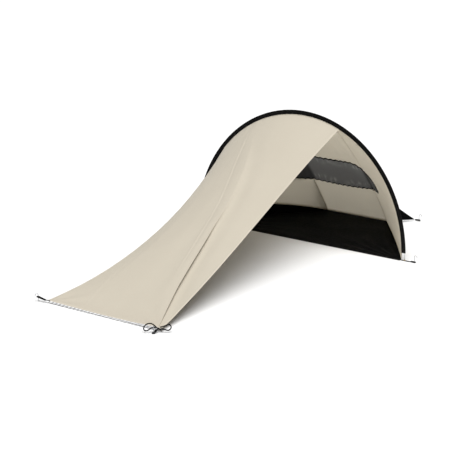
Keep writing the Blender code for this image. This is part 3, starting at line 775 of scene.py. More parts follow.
def canopy_cloth_point(across, along):
    """A point of the cloth with its pleat, creases and pulls, and the normal there."""
    point = canopy_point(across, along)
    up = canopy_up(across, along)
    width = canopy_width(along)
    _, left, middle, pleat, _ = canopy_lines(along)
    beside = (across - pleat) * width
    height = curve_through(PLEAT_HEIGHT, along)
    if beside < 0:
        rise = height * bell(beside, 0.095)
    else:
        steep = 0.034 - 0.021 * smooth((along - 0.3) / 0.3)
        rise = height * (bell(beside, steep) - 0.80 * bell(beside - 0.080, 0.060)
                         * smooth(beside / 0.02))
    overlap = curve_through(PLEAT_OVERLAP, along) * height * bell(beside, 0.014)
    crease_share = smooth(along / 0.15)
    rise += 0.0009 * crease_share * bell((across - left) * width, 0.0050)
    rise -= 0.0012 * crease_share * bell((across - left) * width - 0.020, 0.016)
    beside_pleat = crease_share * (1 - smooth((along - 0.66) / 0.16))
    rise += 0.0013 * beside_pleat * bell((across - middle) * width, 0.0050)
    rise -= 0.0016 * beside_pleat * bell((across - middle) * width - 0.018, 0.014)
    free = smooth(along / 0.06) * smooth((1 - along) / 0.04)
    rise += 0.0050 * free * folds((across, along), (5.5, 1.6), 1)
    rise += 0.0018 * free * folds((across, along), (17.0, 3.0), 2)
    pulls = sin(across * 74.0 + 3.0 * folds((across, along), (6.0, 2.0), 3))
    rise += 0.0014 * pulls * bell(along, 0.05)
    for corner, away in ((0.0, 1.0), (1.0, -1.0)):
        reach = ((across - corner) ** 2 * width ** 2 + (1 - along) ** 2 * 6.6) ** 0.5
        bearing = (1 - along) * 2.57 / max(reach, 0.02)
        rise += 0.0035 * bell(reach - 0.16, 0.14) * sin(bearing * 13.0 * away + corner)
    edge = min(across, 1 - across) * width
    rise -= 0.0005 * bell(edge - 0.012, 0.012) * sin(along * 96.0) * free
    side = (canopy_point(across + 0.004, along) - canopy_point(across - 0.004, along)).normalized()
    return point + up * rise + side * overlap, up


def canopy_columns(along):
    lines = canopy_lines(along)
    shares = denser_at_ends(24)
    columns = [0.0]
    for a, b in zip(lines, lines[1:]):
        columns += [a + (b - a) * share for share in shares[1:]]
    return columns


def make_canopy(looks):
    rows = []
    for along in between(0.0, 1.0, CANOPY_ROWS):
        rows.append([canopy_cloth_point(across, along)[0] for across in canopy_columns(along)])
    count = len(rows[0]) - 1

    def wear_and_painted_light(i, j):
        along = i / CANOPY_ROWS
        low = bell(1 - along, 0.035) * 0.30
        edge = 0.16 * max(bell(j, 2.5), bell(count - j, 2.5))
        return min(1.0, low + edge)

    shape = Shape()
    shape.grid(rows, wear_and_painted_light=wear_and_painted_light)
    cloth = make_piece("canopy_sheet", shape, [looks["canopy"]],
                       "front_canopy", "canopy_cloth", "front_canopy", thickness=CLOTH)
    trim = make_canopy_trim(rows, looks)
    edging = make_canopy_edging(rows, looks)
    for piece in (cloth, trim, edging):
        flatten_canopy(piece)


def flatten_canopy(piece):
    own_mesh(piece)


def hem_frame(point, inside, before, after):
    """Directions into the cloth and off it, at a point on its edge between two others."""
    ahead = (after - before).normalized()
    inward = inside - point
    inward = (inward - ahead * inward.dot(ahead)).normalized()
    return inward, inward.cross(ahead).normalized()


def edge_line(rows, which):
    """The points along one edge of the canopy's grid, with directions inwards and upwards."""
    points, inwards, normals = [], [], []
    count = len(rows[0]) - 1
    if which == "hem":
        lines = [(rows[-1][j], rows[-2][j], rows[-1][min(j + 1, count)], rows[-1][max(j - 1, 0)])
                 for j in range(count + 1)]
    else:
        near, far = (0, 2) if which == "left" else (count, count - 2)
        lines = [(rows[i][near], rows[i][far], rows[min(i + 1, len(rows) - 1)][near],
                  rows[max(i - 1, 0)][near]) for i in range(len(rows))]
    for point, inside, after, before in lines:
        inward, normal = hem_frame(point, inside, before, after)
        points.append(point)
        inwards.append(inward)
        normals.append(-normal if normal.z < 0 else normal)
    return points, inwards, normals


def folded_hem(shape, points, inwards, normals, width, number=0):
    """A hem folded over an edge: a flat tape above, round the edge and below."""
    half = CLOTH / 2 + 0.0002
    swell = 0.0006
    section = [(width, half), (width * 0.985, half + swell), (width * 0.5, half + swell),
               (0.0, half + swell), (-0.0013, 0.0), (0.0, -half - swell),
               (width * 0.5, -half - swell), (width * 0.985, -half - swell), (width, -half)]
    rows = [[point + inward * a + normal * b for a, b in section]
            for point, inward, normal in zip(points, inwards, normals)]
    shape.grid(rows, number, wear_and_painted_light=lambda i, j: 0.25 if 2 < j < 6 else 0.05)


def make_canopy_edging(rows, looks):
    """A pale tape that hangs from the front hem to the ground, painted with grey shadow dashes."""
    points = edge_line(rows, "hem")[0]
    first, last = round(len(points) * 0.03), round(len(points) * 0.86)
    points = even_path(points[first:last], 0.006)
    tape = []
    for k, point in enumerate(points):
        flutter = 0.0007 * sin(k * 1.7) + 0.0006 * sin(k * 0.45)
        tape.append([point + Vector((0.0, -0.0010, -0.0004)),
                     point + Vector((0.0, -0.0022 - flutter, -0.0034)),
                     point + Vector((0.0, -0.0030 - 1.5 * flutter, -0.0075)),
                     Vector((point.x, point.y - 0.0040 - 2.0 * flutter, 0.0024))])
    shape = Shape()
    shape.grid(tape)
    return make_piece("canopy_edging", shape, [looks["edging"]],
                      "front_canopy", "webbing", thickness=0.0006)


def make_canopy_trim(rows, looks):
    shape = Shape()
    for which in ("left", "right", "hem"):
        points, inwards, normals = edge_line(rows, which)
        folded_hem(shape, points, inwards, normals, HEM_WIDTH)
        for reach in (0.003, HEM_WIDTH - 0.003):
            line = [point + inward * reach for point, inward in zip(points, inwards)]
            for sign in (1, -1):
                lifted = [p + n * sign * (CLOTH / 2 + 0.0007) for p, n in zip(line, normals)]
                shape.stitches(lifted, [n * sign for n in normals], 1)
    return make_piece("canopy_hems", shape, [looks["hem"], looks["beige_thread"]],
                      "front_canopy", "canopy_cloth", sharp=60.0)


# --- the rear enclosure --------------------------------------------------------------------


def wall_cloth_point(column, height, low, high):
    """A wall point with slack folds that die out at the panel's lower and upper edge."""
    point = wall_point(column, height)
    inward = wall_inward(column, height)
    share = (height - low) / max(high - low, 1e-6)
    free = smooth(share / 0.2) * smooth((1 - share) / 0.2)
    beyond = max(0.0, abs(column) - 1.0)
    free *= smooth((1 - beyond) / 0.35) * smooth(abs(abs(column) - 1.0) / 0.06)
    seed = 4 if column >= 0 else 5
    rise = 0.0050 * folds((abs(column), height), (2.6, 2.2), seed)
    rise += 0.0022 * folds((abs(column) + height * 0.8, height), (9.0, 2.5), seed + 3)
    return point + inward * rise * free


def panel_rows(columns, low, high, count):
    return [[wall_cloth_point(c, z, low(c), high(c)) for z in between(low(c), high(c), count)]
            for c in columns]


def flatten_wall(piece):
    """Gives the piece a mesh of its own."""
    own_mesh(piece)


def window_shares(count):
    return [sin(radians(90.0) * k / count) ** 0.5 for k in range(count + 1)]


def window_columns(step, count=40):
    half = [share * window_end(step) for share in window_shares(count)]
    return [-c for c in reversed(half[1:])] + half


def make_rear_panels(looks):
    columns = [-1.0] + [c for c in window_columns(1) if abs(c) < 0.985] + [1.0]
    shape = Shape()
    shape.grid(panel_rows(columns, lambda c: WALL_BASE, lambda c: window_sill(c, 1), 24),
               wear_and_painted_light=lambda i, j: 0.35 * bell(j, 2.5))
    wall = make_piece("rear_wall_panel", shape, [looks["wall"]],
                      "hoop", "wall_cloth", "rear_wall", thickness=CLOTH)
    flatten_wall(wall)
    shape = Shape()
    shape.grid(panel_rows(columns, lambda c: window_head(c, 1), wall_top, 44))
    roof = make_piece("roof_cloth", shape, [looks["wall"]],
                      "hoop", "wall_cloth", "roof_panel", thickness=CLOTH)
    flatten_wall(roof)


def side_heights(side, column, below, across, above):
    """Heights of a side wall's grid lines: below, across and above the window."""
    low = tub_height(side * column)
    top = wall_top(column)
    end = window_end(1)
    if column <= end:
        sill, head = window_sill(column, 1), window_head(column, 1)
    else:
        share = (column - end) / (2.0 - end)
        tip = window_sill(end, 1)
        middle = tip + (low + (top - low) * 0.45 - tip) * min(1.0, share * 2.2)
        spread = min(1.0, share * 2.2) * (top - low) * 0.12
        sill, head = middle - spread, middle + spread
    heights = between(low, sill, below)
    heights += between(sill, head, across)[1:] if head > sill else [sill] * across
    return heights + between(head, top, above)[1:]


def make_side_panels(side, looks):
    name = SIDES[side]
    end = window_end(1)
    inside = [1.0] + [c for c in window_columns(1) if c > 1.004]
    columns = inside + between(end, 2.0, 52)[1:]
    below, across, above = 16, 4, 34
    rows = []
    for column in columns:
        low, high = tub_height(side * column), wall_top(column)
        rows.append([wall_cloth_point(side * column, z, low, high)
                     for z in side_heights(side, column, below, across, above)])

    def in_window(i, j):
        return i < len(inside) - 1 and below <= j < below + across

    shape = Shape()
    shape.grid(rows, wear_and_painted_light=lambda i, j: 0.18 * bell(j, 2.0), skip=in_window)
    wall = make_piece(f"side_panel_{name}", shape, [looks["wall"]],
                      "hoop", "wall_cloth", f"side_wall_{name}", thickness=CLOTH)
    flatten_wall(wall)
    strip_rows = [[wall_point(side * c, z) for z in between(WALL_BASE, tub_height(side * c), 6)]
                  for c in columns]
    shape = Shape()
    shape.grid(strip_rows, wear_and_painted_light=lambda i, j: 0.4 * bell(j, 1.5))
    tub = make_piece(f"tub_panel_{name}", shape, [looks["floor"]],
                     "root", "floor_cloth", f"tub_side_{name}", thickness=CLOTH)
    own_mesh(tub)


def seam_tape(shape, places, width, number, thread, inside=1, lift=0.0007):
    """A flat-felled seam along (column, height) places of the enclosure, sewn twice."""
    path = [wall_point(column, height) for column, height in places]
    normals = [wall_inward(column, height) * inside for column, height in places]
    sideways = []
    for k in range(len(path)):
        ahead = path[min(k + 1, len(path) - 1)] - path[max(k - 1, 0)]
        sideways.append(ahead.cross(normals[k]).normalized())
    shape.grid(strip(path, sideways, normals, width, CLOTH / 2 + lift), number,
               wear_and_painted_light=lambda i, j: 0.10)
    for reach in (-width * 0.36, width * 0.36):
        line = [p + s * reach + n * (CLOTH / 2 + lift) for p, s, n in zip(path, sideways, normals)]
        shape.stitches(line, normals, thread)


def make_wall_seams(looks):
    """The corner seams, the seam over the floor's raised sides and the seam at the base."""
    corners = Shape()
    for side in (-1, 1):
        for low, high in ((WALL_BASE + 0.002, window_sill(1, 1) + 0.004),
                          (window_head(1, 1) - 0.004, wall_top(1) - 0.001)):
            places = [(side, z) for z in between(low, high, 40)]
            seam_tape(corners, places, 0.009, 0, 1)
        places = [(side * c, tub_height(side * c) + 0.003) for c in between(1.01, 1.985, 90)]
        for inside in (1, -1):
            seam_tape(corners, places, 0.012, 0, 1, inside)
    places = [(c, WALL_BASE + 0.008) for c in between(-1.0, 1.0, 60)]
    for inside in (1, -1):
        seam_tape(corners, places, 0.012, 0, 1, inside)
    seams = make_piece("wall_seams", corners, [looks["wall"], looks["beige_thread"]],
                       "hoop", "wall_cloth", sharp=60.0)
    flatten_wall(seams)


def window_outline(step, spacing=0.004):
    """Evenly spaced (column, height) places round the window, from its left end."""
    columns = window_columns(step, 140)
    loop = [(c, window_head(c, step)) for c in columns]
    loop += [(c, window_sill(c, step)) for c in reversed(columns[1:-1])]
    points = [wall_point(c, z) for c, z in loop]
    lengths = [0.0]
    for k in range(len(points)):
        lengths.append(lengths[-1] + (points[(k + 1) % len(points)] - points[k]).length)
    total = lengths[-1]
    count = round(total / spacing)
    places = []
    k = 0
    for number in range(count):
        target = total * number / count
        while lengths[k + 1] < target:
            k += 1
        share = (target - lengths[k]) / (lengths[k + 1] - lengths[k])
        (c0, z0), (c1, z1) = loop[k], loop[(k + 1) % len(loop)]
        places.append((c0 + (c1 - c0) * share, z0 + (z1 - z0) * share))
    return places, total


NET_COLUMNS = 60
NET_ROWS = 18


def netting_painted_light_and_shade(i, j):
    """Painted highlight, pale where gathers catch the light along the tape, and painted shade, near
    black, in the window's pointed ends."""
    column = window_columns(-1, NET_COLUMNS)[i]
    edge = bell(j - 3.0, 1.3) + bell(NET_ROWS - 3.0 - j, 1.3)
    painted_gather_highlight = max(0.0, folds((column * 3.0, j), (5.2, 0.3), 21)) * 2.4
    ends = smooth((abs(column) - 0.86) / 0.14)
    return min(1.0, edge * painted_gather_highlight) * (1 - ends) - 0.9 * ends


def make_window(looks):
    rows = []
    for column in window_columns(-1, NET_COLUMNS):
        sill, head = window_sill(column, -1) - 0.010, window_head(column, -1) + 0.010
        row = []
        for share in between(0.0, 1.0, NET_ROWS):
            height = sill + (head - sill) * share
            point = wall_point(column, height)
            slack = sin(pi * share) * (1 - smooth((abs(column) - 0.95) / 0.17))
            gather = smooth(4 * share * (1 - share) / 0.3) * (1 - smooth(4 * share * (1 - share)))
            gather *= 0.004 * folds((column * 3.0, share), (8.0, 1.0), 10)
            point -= wall_inward(column, height) * (0.006 * slack + gather + 0.0025
                                                    * slack * folds((column, share), (4.0, 2.0), 9))
            row.append(point)
        rows.append(row)
    shape = Shape()
    # the netting's per-point marks are painted highlight and painted shade
    shape.grid(rows, wear_and_painted_light=netting_painted_light_and_shade)
    netting = make_piece("window_netting", shape, [looks["mesh"]],
                         "hoop", "mesh_cloth", "window_mesh", thickness=0.0003)
    flatten_wall(netting)
    make_window_tape(looks)


RUFFLE = 0.0052              # reach of the gathered tape's waves
RUFFLE_PERIOD = 0.048
# half of the tape's section, as (reach from the edge, lift off the cloth, share of gather)
TAPE_SECTION = [(0.0105, 0.0006, 0.0), (0.0103, 0.0012, 0.1), (0.0080, 0.0015, 0.2),
                (0.0045, 0.0017, 0.5), (0.0010, 0.0024, 1.0), (-0.0016, 0.0020, 1.9),
                (-0.0022, 0.0006, 2.1)]


def make_window_tape(looks):
    """The gathered elastic tape round the window: it ruffles towards the netting."""
    places, total = window_outline(0)
    count = len(places)
    waves = round(total / RUFFLE_PERIOD)
    shape = Shape()
    lines = []
    for k, (column, height) in enumerate(places):
        point = wall_point(column, height)
        inward = wall_inward(column, height)
        ahead = (wall_point(*places[(k + 1) % count]) - wall_point(*places[k - 1])).normalized()
        outside = inward.cross(ahead).normalized()
        centre = wall_point(0.0, 0.43)
        if outside.dot(point - centre) < 0 and abs(column) < 1.0:
            outside = -outside
        phase = 2 * pi * waves * k / count
        ruffle = sin(phase) + 0.35 * sin(2.3 * phase + 1.0)
        lines.append((point, inward, outside, ruffle))
    for face in (1, -1):
        rows = []
        for point, inward, outside, ruffle in lines:
            row = []
            for reach, lift, gather in TAPE_SECTION:
                shift = outside * (reach + RUFFLE * ruffle)
                row.append(point + shift + inward * face * (lift + 0.0010 * abs(ruffle) * gather))
            rows.append(row)
        shape.grid(rows, 0, ring=True, wear_and_painted_light=lambda i, j: 0.12)
    for reach in (0.0085, 0.0040):
        for face in (1, -1):
            line = [p + o * (reach + RUFFLE * r) + i * face * 0.0020 for p, i, o, r in lines]
            shape.stitches(line, [i * face for _, i, _, _ in lines], 1)
    tape = make_piece("window_tape", shape, [looks["sleeve"], looks["black_thread"]],
                      "hoop", "webbing", "window_binding", sharp=70.0)
    flatten_wall(tape)


def floor_outline(share):
    """Half width of the floor at a share of its depth, front to rear."""
    front, rear = WALL_FOOT_X - 0.004, REAR_HALF_WIDTH + 0.004
    y = -FLOOR_FRONT + (REAR_DEPTH + 0.004 + FLOOR_FRONT) * share
    if y < 0.006:
        return front + 0.003 * (y + FLOOR_FRONT) / (FLOOR_FRONT + 0.006), y
    return front + 0.003 + (rear - front - 0.003) * (y - 0.006) / (REAR_DEPTH - 0.002), y


def make_floor(looks):
    """The groundsheet, with creases that the pegged feet pull across it."""
    rows = []
    for share in between(0.0, 1.0, 90):
        half, y = floor_outline(share)
        row = []
        for across in between(-1.0, 1.0, 150):
            x = half * across
            rise = 0.0
            for side in (-1, 1):
                reach = Vector((side * 0.955 - x, y)).length
                bearing = (y + 0.02) / max(reach, 0.05)
                crease = sin(bearing * 34.0 + 1.4 * side + 2.0 * folds((x, y), (2.0, 2.0), 12))
                rise += 0.0046 * crease * bell(reach - 0.30, 0.32)
            rise += 0.0040 * folds((x, y), (4.0, 6.0), 11)
            edge = smooth(min(share, 1 - share) / 0.08) * smooth((1 - abs(across)) / 0.05)
            row.append(Vector((x, y, FLOOR_THICKNESS * 0.6 + max(0.0, 0.004 + rise) * edge)))
        rows.append(row)
    shape = Shape()
    shape.grid(rows, wear_and_painted_light=lambda i, j: 0.12 * max(bell(i, 3), bell(j, 3), bell(150 - j, 3)))
    sheet = make_piece("floor_sheet", shape, [looks["floor"]],
                       "root", "floor_cloth", "groundsheet", thickness=CLOTH)
    shape = Shape()
    front = [Vector((x, -FLOOR_FRONT, FLOOR_THICKNESS * 0.75))
             for x in between(-WALL_FOOT_X + 0.004, WALL_FOOT_X - 0.004, 120)]
    count = len(front)
    folded_hem(shape, front, [Vector((0, 1, 0))] * count, [UP] * count, 0.018)
    for reach in (0.003, 0.015):
        line = [p + Vector((0, reach, CLOTH / 2 + 0.0008)) for p in front]
        shape.stitches(line, [UP] * count, 1)
    make_piece("floor_hem", shape, [looks["floor"], looks["black_thread"]],
               "root", "floor_cloth", sharp=60.0)


def make_fin(side, looks):
    """A triangle of cloth from the rear corner seam out to its peg, with folded hems."""
    name = SIDES[side]
    away = Vector((0.55, 0.83, 0.0)) * 0.0022
    rows = []
    for height in between(0.0045, FIN_TOP, 24):
        seam = wall_point(1.0, height) + away
        row = []
        for share in between(0.0, 1.0, 30):
            point = seam.lerp(FIN_TIP, share)
            level = height / FIN_TOP
            dip = 0.006 * sin(pi * share) * level ** 3
            pull = sin(level * 16.0 + folds((share, level), (2.0, 2.0), 14))
            point.z -= dip
            point += Vector((0.75, -0.66, 0.0)) * 0.0040 * pull * sin(pi * share)
            row.append(Vector((side * point.x, point.y, max(point.z, 0.003))))
        rows.append(row)
    shape = Shape()
    shape.grid(rows, wear_and_painted_light=lambda i, j: 0.30 * bell(i, 1.5))
    fin = make_piece(f"fin_{name}", shape, [looks["floor"]],
                     "root", "floor_cloth", f"corner_fin_{name}", thickness=CLOTH)
    shape = Shape()
    for line, inside in ((rows[-1], rows[-2]), (rows[0], rows[1])):
        line, inside = line[:-1], inside[:-1]
        normals, inwards = [], []
        for k, (point, other) in enumerate(zip(line, inside)):
            inward, normal = hem_frame(point, other, line[max(k - 1, 0)],
                                       line[min(k + 1, len(line) - 1)])
            inwards.append(inward)
            normals.append(normal)
        narrow = [min(0.011, 0.030 * (len(line) - k) / len(line)) for k in range(len(line))]
        folded_hem(shape, line, [i * (w / 0.011) for i, w in zip(inwards, narrow)], normals, 0.011)
    hems = make_piece(f"fin_hems_{name}", shape, [looks["floor"]],
                      "root", "floor_cloth", sharp=60.0)
    for piece in (fin, hems):
        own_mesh(piece)


# --- the hoop: sleeve, seam piping, pole -----------------------------------------------------

# right half of the sleeve's section: round over the pole, then a flap of doubled cloth, in mm
SLEEVE_HALF = [(6.5, 0.0), (6.35, 1.5), (5.7, 3.2), (4.7, 4.6), (3.2, 5.7), (1.7, 6.25),
               (0.0, 6.4), (-1.8, 6.2), (-3.4, 5.5), (-5.2, 4.3), (-7.0, 3.1), (-8.8, 2.3),
               (-10.2, 2.1), (-14.0, 1.5), (-19.0, 1.3), (-24.0, 1.3), (-28.2, 1.3),
               (-29.5, 0.9)]
SLEEVE_STATIONS = 520
SLEEVE_BORE = 0.0053
SLEEVE_ROUND = 0.0064


def make_sleeve(looks):
    end = hoop_angle_at(SLEEVE_FOOT, POLE_INSET)
    half = [(a / 1000, b / 1000) for a, b in SLEEVE_HALF]
    section = half + [(a, -b) for a, b in reversed(half[1:])]
    rows, lining, seams = [], [], []
    for angle in between(-end, end, SLEEVE_STATIONS):
        centre = hoop_point(angle, POLE_INSET)
        outward = hoop_outward(angle)
        row = []
        for a, b in section:
            turn = folds((angle * 40.0, b * 300.0), (1.0, 1.0), 16 if b > 0 else 17)
            pucker = 0.00045 * turn * smooth(abs(b) / 0.003)
            if a < -0.010:
                pucker = 0.00055 * folds((angle * 60.0, a * 60.0), (1.0, 1.0), 18)
            grow = 1.0 + pucker / SLEEVE_ROUND
            off = b * grow + (pucker if a < -0.01 else 0.0)
            row.append(centre + outward * a + HOOP_REAR * off)
        rows.append(row + [row[0]])
        ring = [centre + (outward * cos(t) + HOOP_REAR * sin(t)) * SLEEVE_BORE
                for t in between(0.0, 2 * pi, 20)]
        lining.append(ring)
        seams.append((centre, outward))
    shape = Shape()
    shape.grid(rows, wear_and_painted_light=lambda i, j: 0.16 * max(bell(j, 3), bell(len(section) - j, 3))
               + 0.35 * max(bell(i, 6), bell(SLEEVE_STATIONS - i, 6)))
    shape.grid(lining)
    for face in (1, -1):
        for reach in (-0.0095, -0.0265):
            lift = 0.0025 if reach > -0.02 else 0.0014
            line = [c + o * reach + HOOP_REAR * face * lift for c, o in seams]
            shape.stitches(line, [HOOP_REAR * face] * len(line), 1)
    cap_sleeve(shape, rows, lining)
    make_piece("sleeve_tube", shape, [looks["sleeve"], looks["black_thread"]],
               "hoop", "sleeve_cloth", "hoop_sleeve", sharp=50.0)


def cap_sleeve(shape, rows, lining):
    """Closes the sleeve's cloth between its outer face and its bore, at both ends."""
    for end in (0, -1):
        outer, inner = rows[end], lining[end]
        hub = len(shape.points)
        for point in outer[:-1]:
            shape.add_point(point, 0.5)
        ring = len(shape.points)
        for point in inner[:-1]:
            shape.add_point(point, 0.5)
        a_count, b_count = len(outer) - 1, len(inner) - 1
        a = b = 0
        while a < a_count or b < b_count:
            here, there = hub + a % a_count, ring + b % b_count
            if b * a_count > a * b_count or b == b_count:
                corners = [here, hub + (a + 1) % a_count, there]
                a += 1
            else:
                corners = [here, ring + (b + 1) % b_count, there]
                b += 1
            shape.add_face(corners, [(0.0, 0.0)] * 3)


def make_piping(looks):
    """Beige seam allowance along the sleeve, where the canopy and the walls are sewn on."""
    shape = Shape()
    ends = {-1: (CANOPY_LEFT, CANOPY_RIGHT), 1: (-FOOT_ANGLE, FOOT_ANGLE)}
    for face, (low, high) in ends.items():
        angles = between(low, high, 300)
        path = [hoop_point(angle, SLEEVE_WIDTH + 0.0010, face * 0.0024) for angle in angles]
        sideways = [hoop_outward(angle) for angle in angles]
        normals = [HOOP_REAR * face] * len(angles)
        shape.grid(strip(path, sideways, normals, 0.0042, 0.0005, 0.0009))
        shape.stitches([p + n * 0.0013 for p, n in zip(path, normals)], normals, 1)
    make_piece("seam_piping", shape, [looks["hem"], looks["beige_thread"]],
               "hoop", "wall_cloth", sharp=60.0)


POLE_LENGTH = 3.15           # along the bent pole
POLE_SIDES = 20
POLE_STEPS = 24


def make_pole(looks):
    """The pole's sections: open tubes, worn where they meet."""
    end = hoop_angle_at(POLE_FOOT, POLE_INSET)
    half_gap = GAP / 2 / POLE_LENGTH
    for index in range(POLE_SECTIONS):
        start = index / POLE_SECTIONS + (half_gap if index else 0.0)
        stop = (index + 1) / POLE_SECTIONS - (half_gap if index < POLE_SECTIONS - 1 else 0.0)
        angles = [-end + 2 * end * s for s in between(start, stop, POLE_STEPS)]
        path = [hoop_point(angle, POLE_INSET) for angle in angles]
        shape = Shape()
        outer = shape.tube(path, POLE_RADIUS, POLE_SIDES, capped=False,
                           wear_and_painted_light=lambda k: 0.5 * max(bell(k, 1.2), bell(POLE_STEPS - k, 1.2)))
        inner = shape.tube(path, POLE_BORE, POLE_SIDES, capped=False)
        for k in (0, -1):
            for s in range(POLE_SIDES):
                n = (s + 1) % POLE_SIDES
                shape.add_face([outer[k][s], outer[k][n], inner[k][n], inner[k][s]],
                               [(0.0, 0.0)] * 4)
        name = f"pole_section_{index + 1}"
        make_piece(f"{name}_tube", shape, [looks["pole"]], "hoop", "pole", name, sharp=40.0)


# --- feet, tabs, pegs ------------------------------------------------------------------------

FOOT_X = HALF_WIDTH - POLE_INSET
STRAP_HALF_WIDTH = 0.0125
STRAP_THICKNESS = 0.0016
STRAP_HOLE = 0.0085
# turned parts as (radius, height) round their upright axis
EYELET_PROFILE = [(0.0062, 0.0003), (0.0079, 0.0003), (0.0079, 0.0019), (0.0094, 0.0017),
                  (0.0098, 0.0019), (0.0098, 0.0024), (0.0092, 0.0029), (0.0083, 0.0031),
                  (0.0073, 0.0030), (0.0065, 0.0026), (0.0062, 0.0020)]
TIP_PROFILE = [(0.0, 0.0010), (0.0016, 0.0010), (0.00215, 0.0014), (0.00225, 0.0020),
               (0.00225, 0.0092), (0.0043, 0.0094), (0.0046, 0.0098), (0.0046, 0.0117),
               (0.0043, 0.0121), (0.0028, 0.0121), (0.0028, 0.0256), (0.0024, 0.0260),
               (0.0, 0.0260)]


def make_strap(side, looks):
    """A foot strap of webbing, with a hole for the grommet and a sewn end."""
    name = SIDES[side]
    start, end = WALL_FOOT_X + 0.001, HALF_WIDTH + 0.045
    shape = Shape()
    centre = Vector((FOOT_X, 0.0005, 0.0))
    rings = []
    for k in range(64):
        angle = 2 * pi * k / 64
        way = Vector((cos(angle), sin(angle), 0.0))
        inner = centre + way * STRAP_HOLE
        reach_x = (end if way.x > 0 else start) - centre.x
        reach_y = STRAP_HALF_WIDTH * (1 if way.y > 0 else -1) - centre.y
        reach = min(reach_x / way.x if abs(way.x) > 1e-6 else 9.0,
                    reach_y / way.y if abs(way.y) > 1e-6 else 9.0)
        outer = centre + way * reach
        rings.append((inner, outer))
    for k in range(64):
        n = (k + 1) % 64
        ring = []
        for inner, outer in (rings[k], rings[n]):
            column = []
            for share, z in ((0.0, 0.0002), (0.0, STRAP_THICKNESS), (0.2, STRAP_THICKNESS),
                             (0.9, STRAP_THICKNESS), (1.0, STRAP_THICKNESS - 0.0004),
                             (1.0, 0.0004), (0.9, 0.0), (0.0, 0.0002)):
                p = inner.lerp(outer, share)
                column.append(Vector((side * p.x, p.y, z)))
            ring.append(column)
        for j in range(7):
            corners = [shape.add_point(p, 0.3 if 3 < j + d < 6 else 0.05)
                       for p, d in ((ring[0][j], 0), (ring[1][j], 0), (ring[1][j + 1], 1),
                                    (ring[0][j + 1], 1))]
            uvs = [(shape.points[c].y + 0.0125, abs(shape.points[c].x)) for c in corners]
            shape.add_face(corners, uvs)
    square = [(0.0245, -0.009), (0.0405, -0.009), (0.0405, 0.009), (0.0245, 0.009),
              (0.0245, -0.009), (0.0405, 0.009), (0.0405, -0.009), (0.0245, 0.009)]
    for (x0, y0), (x1, y1) in zip(square, square[1:]):
        shape.sew_down(Vector((side * (HALF_WIDTH + x0), y0, STRAP_THICKNESS)),
                       Vector((side * (HALF_WIDTH + x1), y1, STRAP_THICKNESS)))
    make_piece(f"strap_{name}", shape, [looks["webbing"], looks["black_thread"]],
               "root", "webbing", f"foot_strap_{name}", sharp=40.0)
    shape = lathe(EYELET_PROFILE, Vector((side * FOOT_X, 0.0005, 0.0)), True)
    make_piece(f"eyelet_{name}", shape, [looks["brass"]],
               "root", "brass", f"grommet_{name}", sharp=50.0)


def between_points(a, b, count):
    return [a.lerp(b, k / count) for k in range(count + 1)]


def lathe(profile, centre, closed, sides=48, turn=None):
    """A profile of (radius, height) turned round an upright line through centre."""
    shape = Shape()
    loop = profile + [profile[0]] if closed else profile
    rows = []
    for k in range(sides):
        angle = 2 * pi * k / sides
        row = []
        for radius, height in loop:
            local = Vector((radius * cos(angle), radius * sin(angle), height))
            row.append(centre + (turn @ local if turn else local))
        rows.append(row)
    shape.grid(rows, ring=True, wear_and_painted_light=lambda i, j: 0.25 if j % 3 == 0 else 0.6)
    return shape


def make_pole_tip(side, looks):
    """A turned plug: a spigot in the pole, a collar under it and a pin in the grommet."""
    foot = hoop_point(hoop_angle_at(POLE_FOOT, POLE_INSET), POLE_INSET)
    axis = (hoop_point(hoop_angle_at(0.03, POLE_INSET), POLE_INSET) - foot).normalized()
    centre = foot - axis * (POLE_FOOT / axis.z)
    axis.x *= side
    centre.x *= side
    turn = axis.to_track_quat("Z", "Y").to_matrix()
    shape = lathe(TIP_PROFILE, centre, False, 32, turn)
    name = SIDES[side]
    make_piece(f"tip_{name}", shape, [looks["brass"]],
               "hoop", "brass", f"pole_tip_{name}", sharp=40.0)


def corner_frame(across):
    """Corner of the hem and the level direction from it to its peg."""
    corner = canopy_point(across, 1.0)
    peg = PEGS["peg_front_right" if across > 0.5 else "peg_front_left"][0]
    towards = Vector((peg.x - corner.x, peg.y - corner.y, 0.0)).normalized()
    return corner, towards


def make_hem_tab(across, looks):
    """A doubled webbing tab, sewn over the corner of the hem, that carries the cord."""
    corner, towards = corner_frame(across)
    level = Vector((-towards.y, towards.x, 0.0))
    shape = Shape()
    section = [(-0.0185, 0.0009), (-0.0180, 0.0017), (-0.004, 0.0017), (0.005, 0.0012),
               (0.012, 0.0013), (0.0168, 0.0009), (0.0180, 0.0), (0.0168, -0.0009),
               (0.012, -0.0013), (0.005, -0.0012), (-0.004, -0.0017), (-0.0180, -0.0017),
               (-0.0185, -0.0009)]
    rows = []
    for w in (-0.0070, -0.0066, -0.0035, 0.0, 0.0035, 0.0066, 0.0070):
        thin = 0.3 if abs(w) == 0.0070 else 1.0
        row = []
        for reach, z in section:
            slope = 0.0 if reach < 0 else -0.09 * reach
            row.append(corner + towards * reach + level * w + UP * (z * thin + slope))
        rows.append(row)
    shape.grid(rows, wear_and_painted_light=lambda i, j: 0.3 if i in (0, 6) else 0.05)
    for w in (-0.0050, 0.0050):
        shape.sew_down(corner - towards * 0.016 + level * w + UP * 0.0018,
                       corner + towards * 0.010 + level * w + UP * 0.0009)
    name = "hem_tab_right" if across > 0.5 else "hem_tab_left"
    make_piece(f"{name}_webbing", shape, [looks["webbing"], looks["black_thread"]],
               "front_canopy", "webbing", name, sharp=50.0)


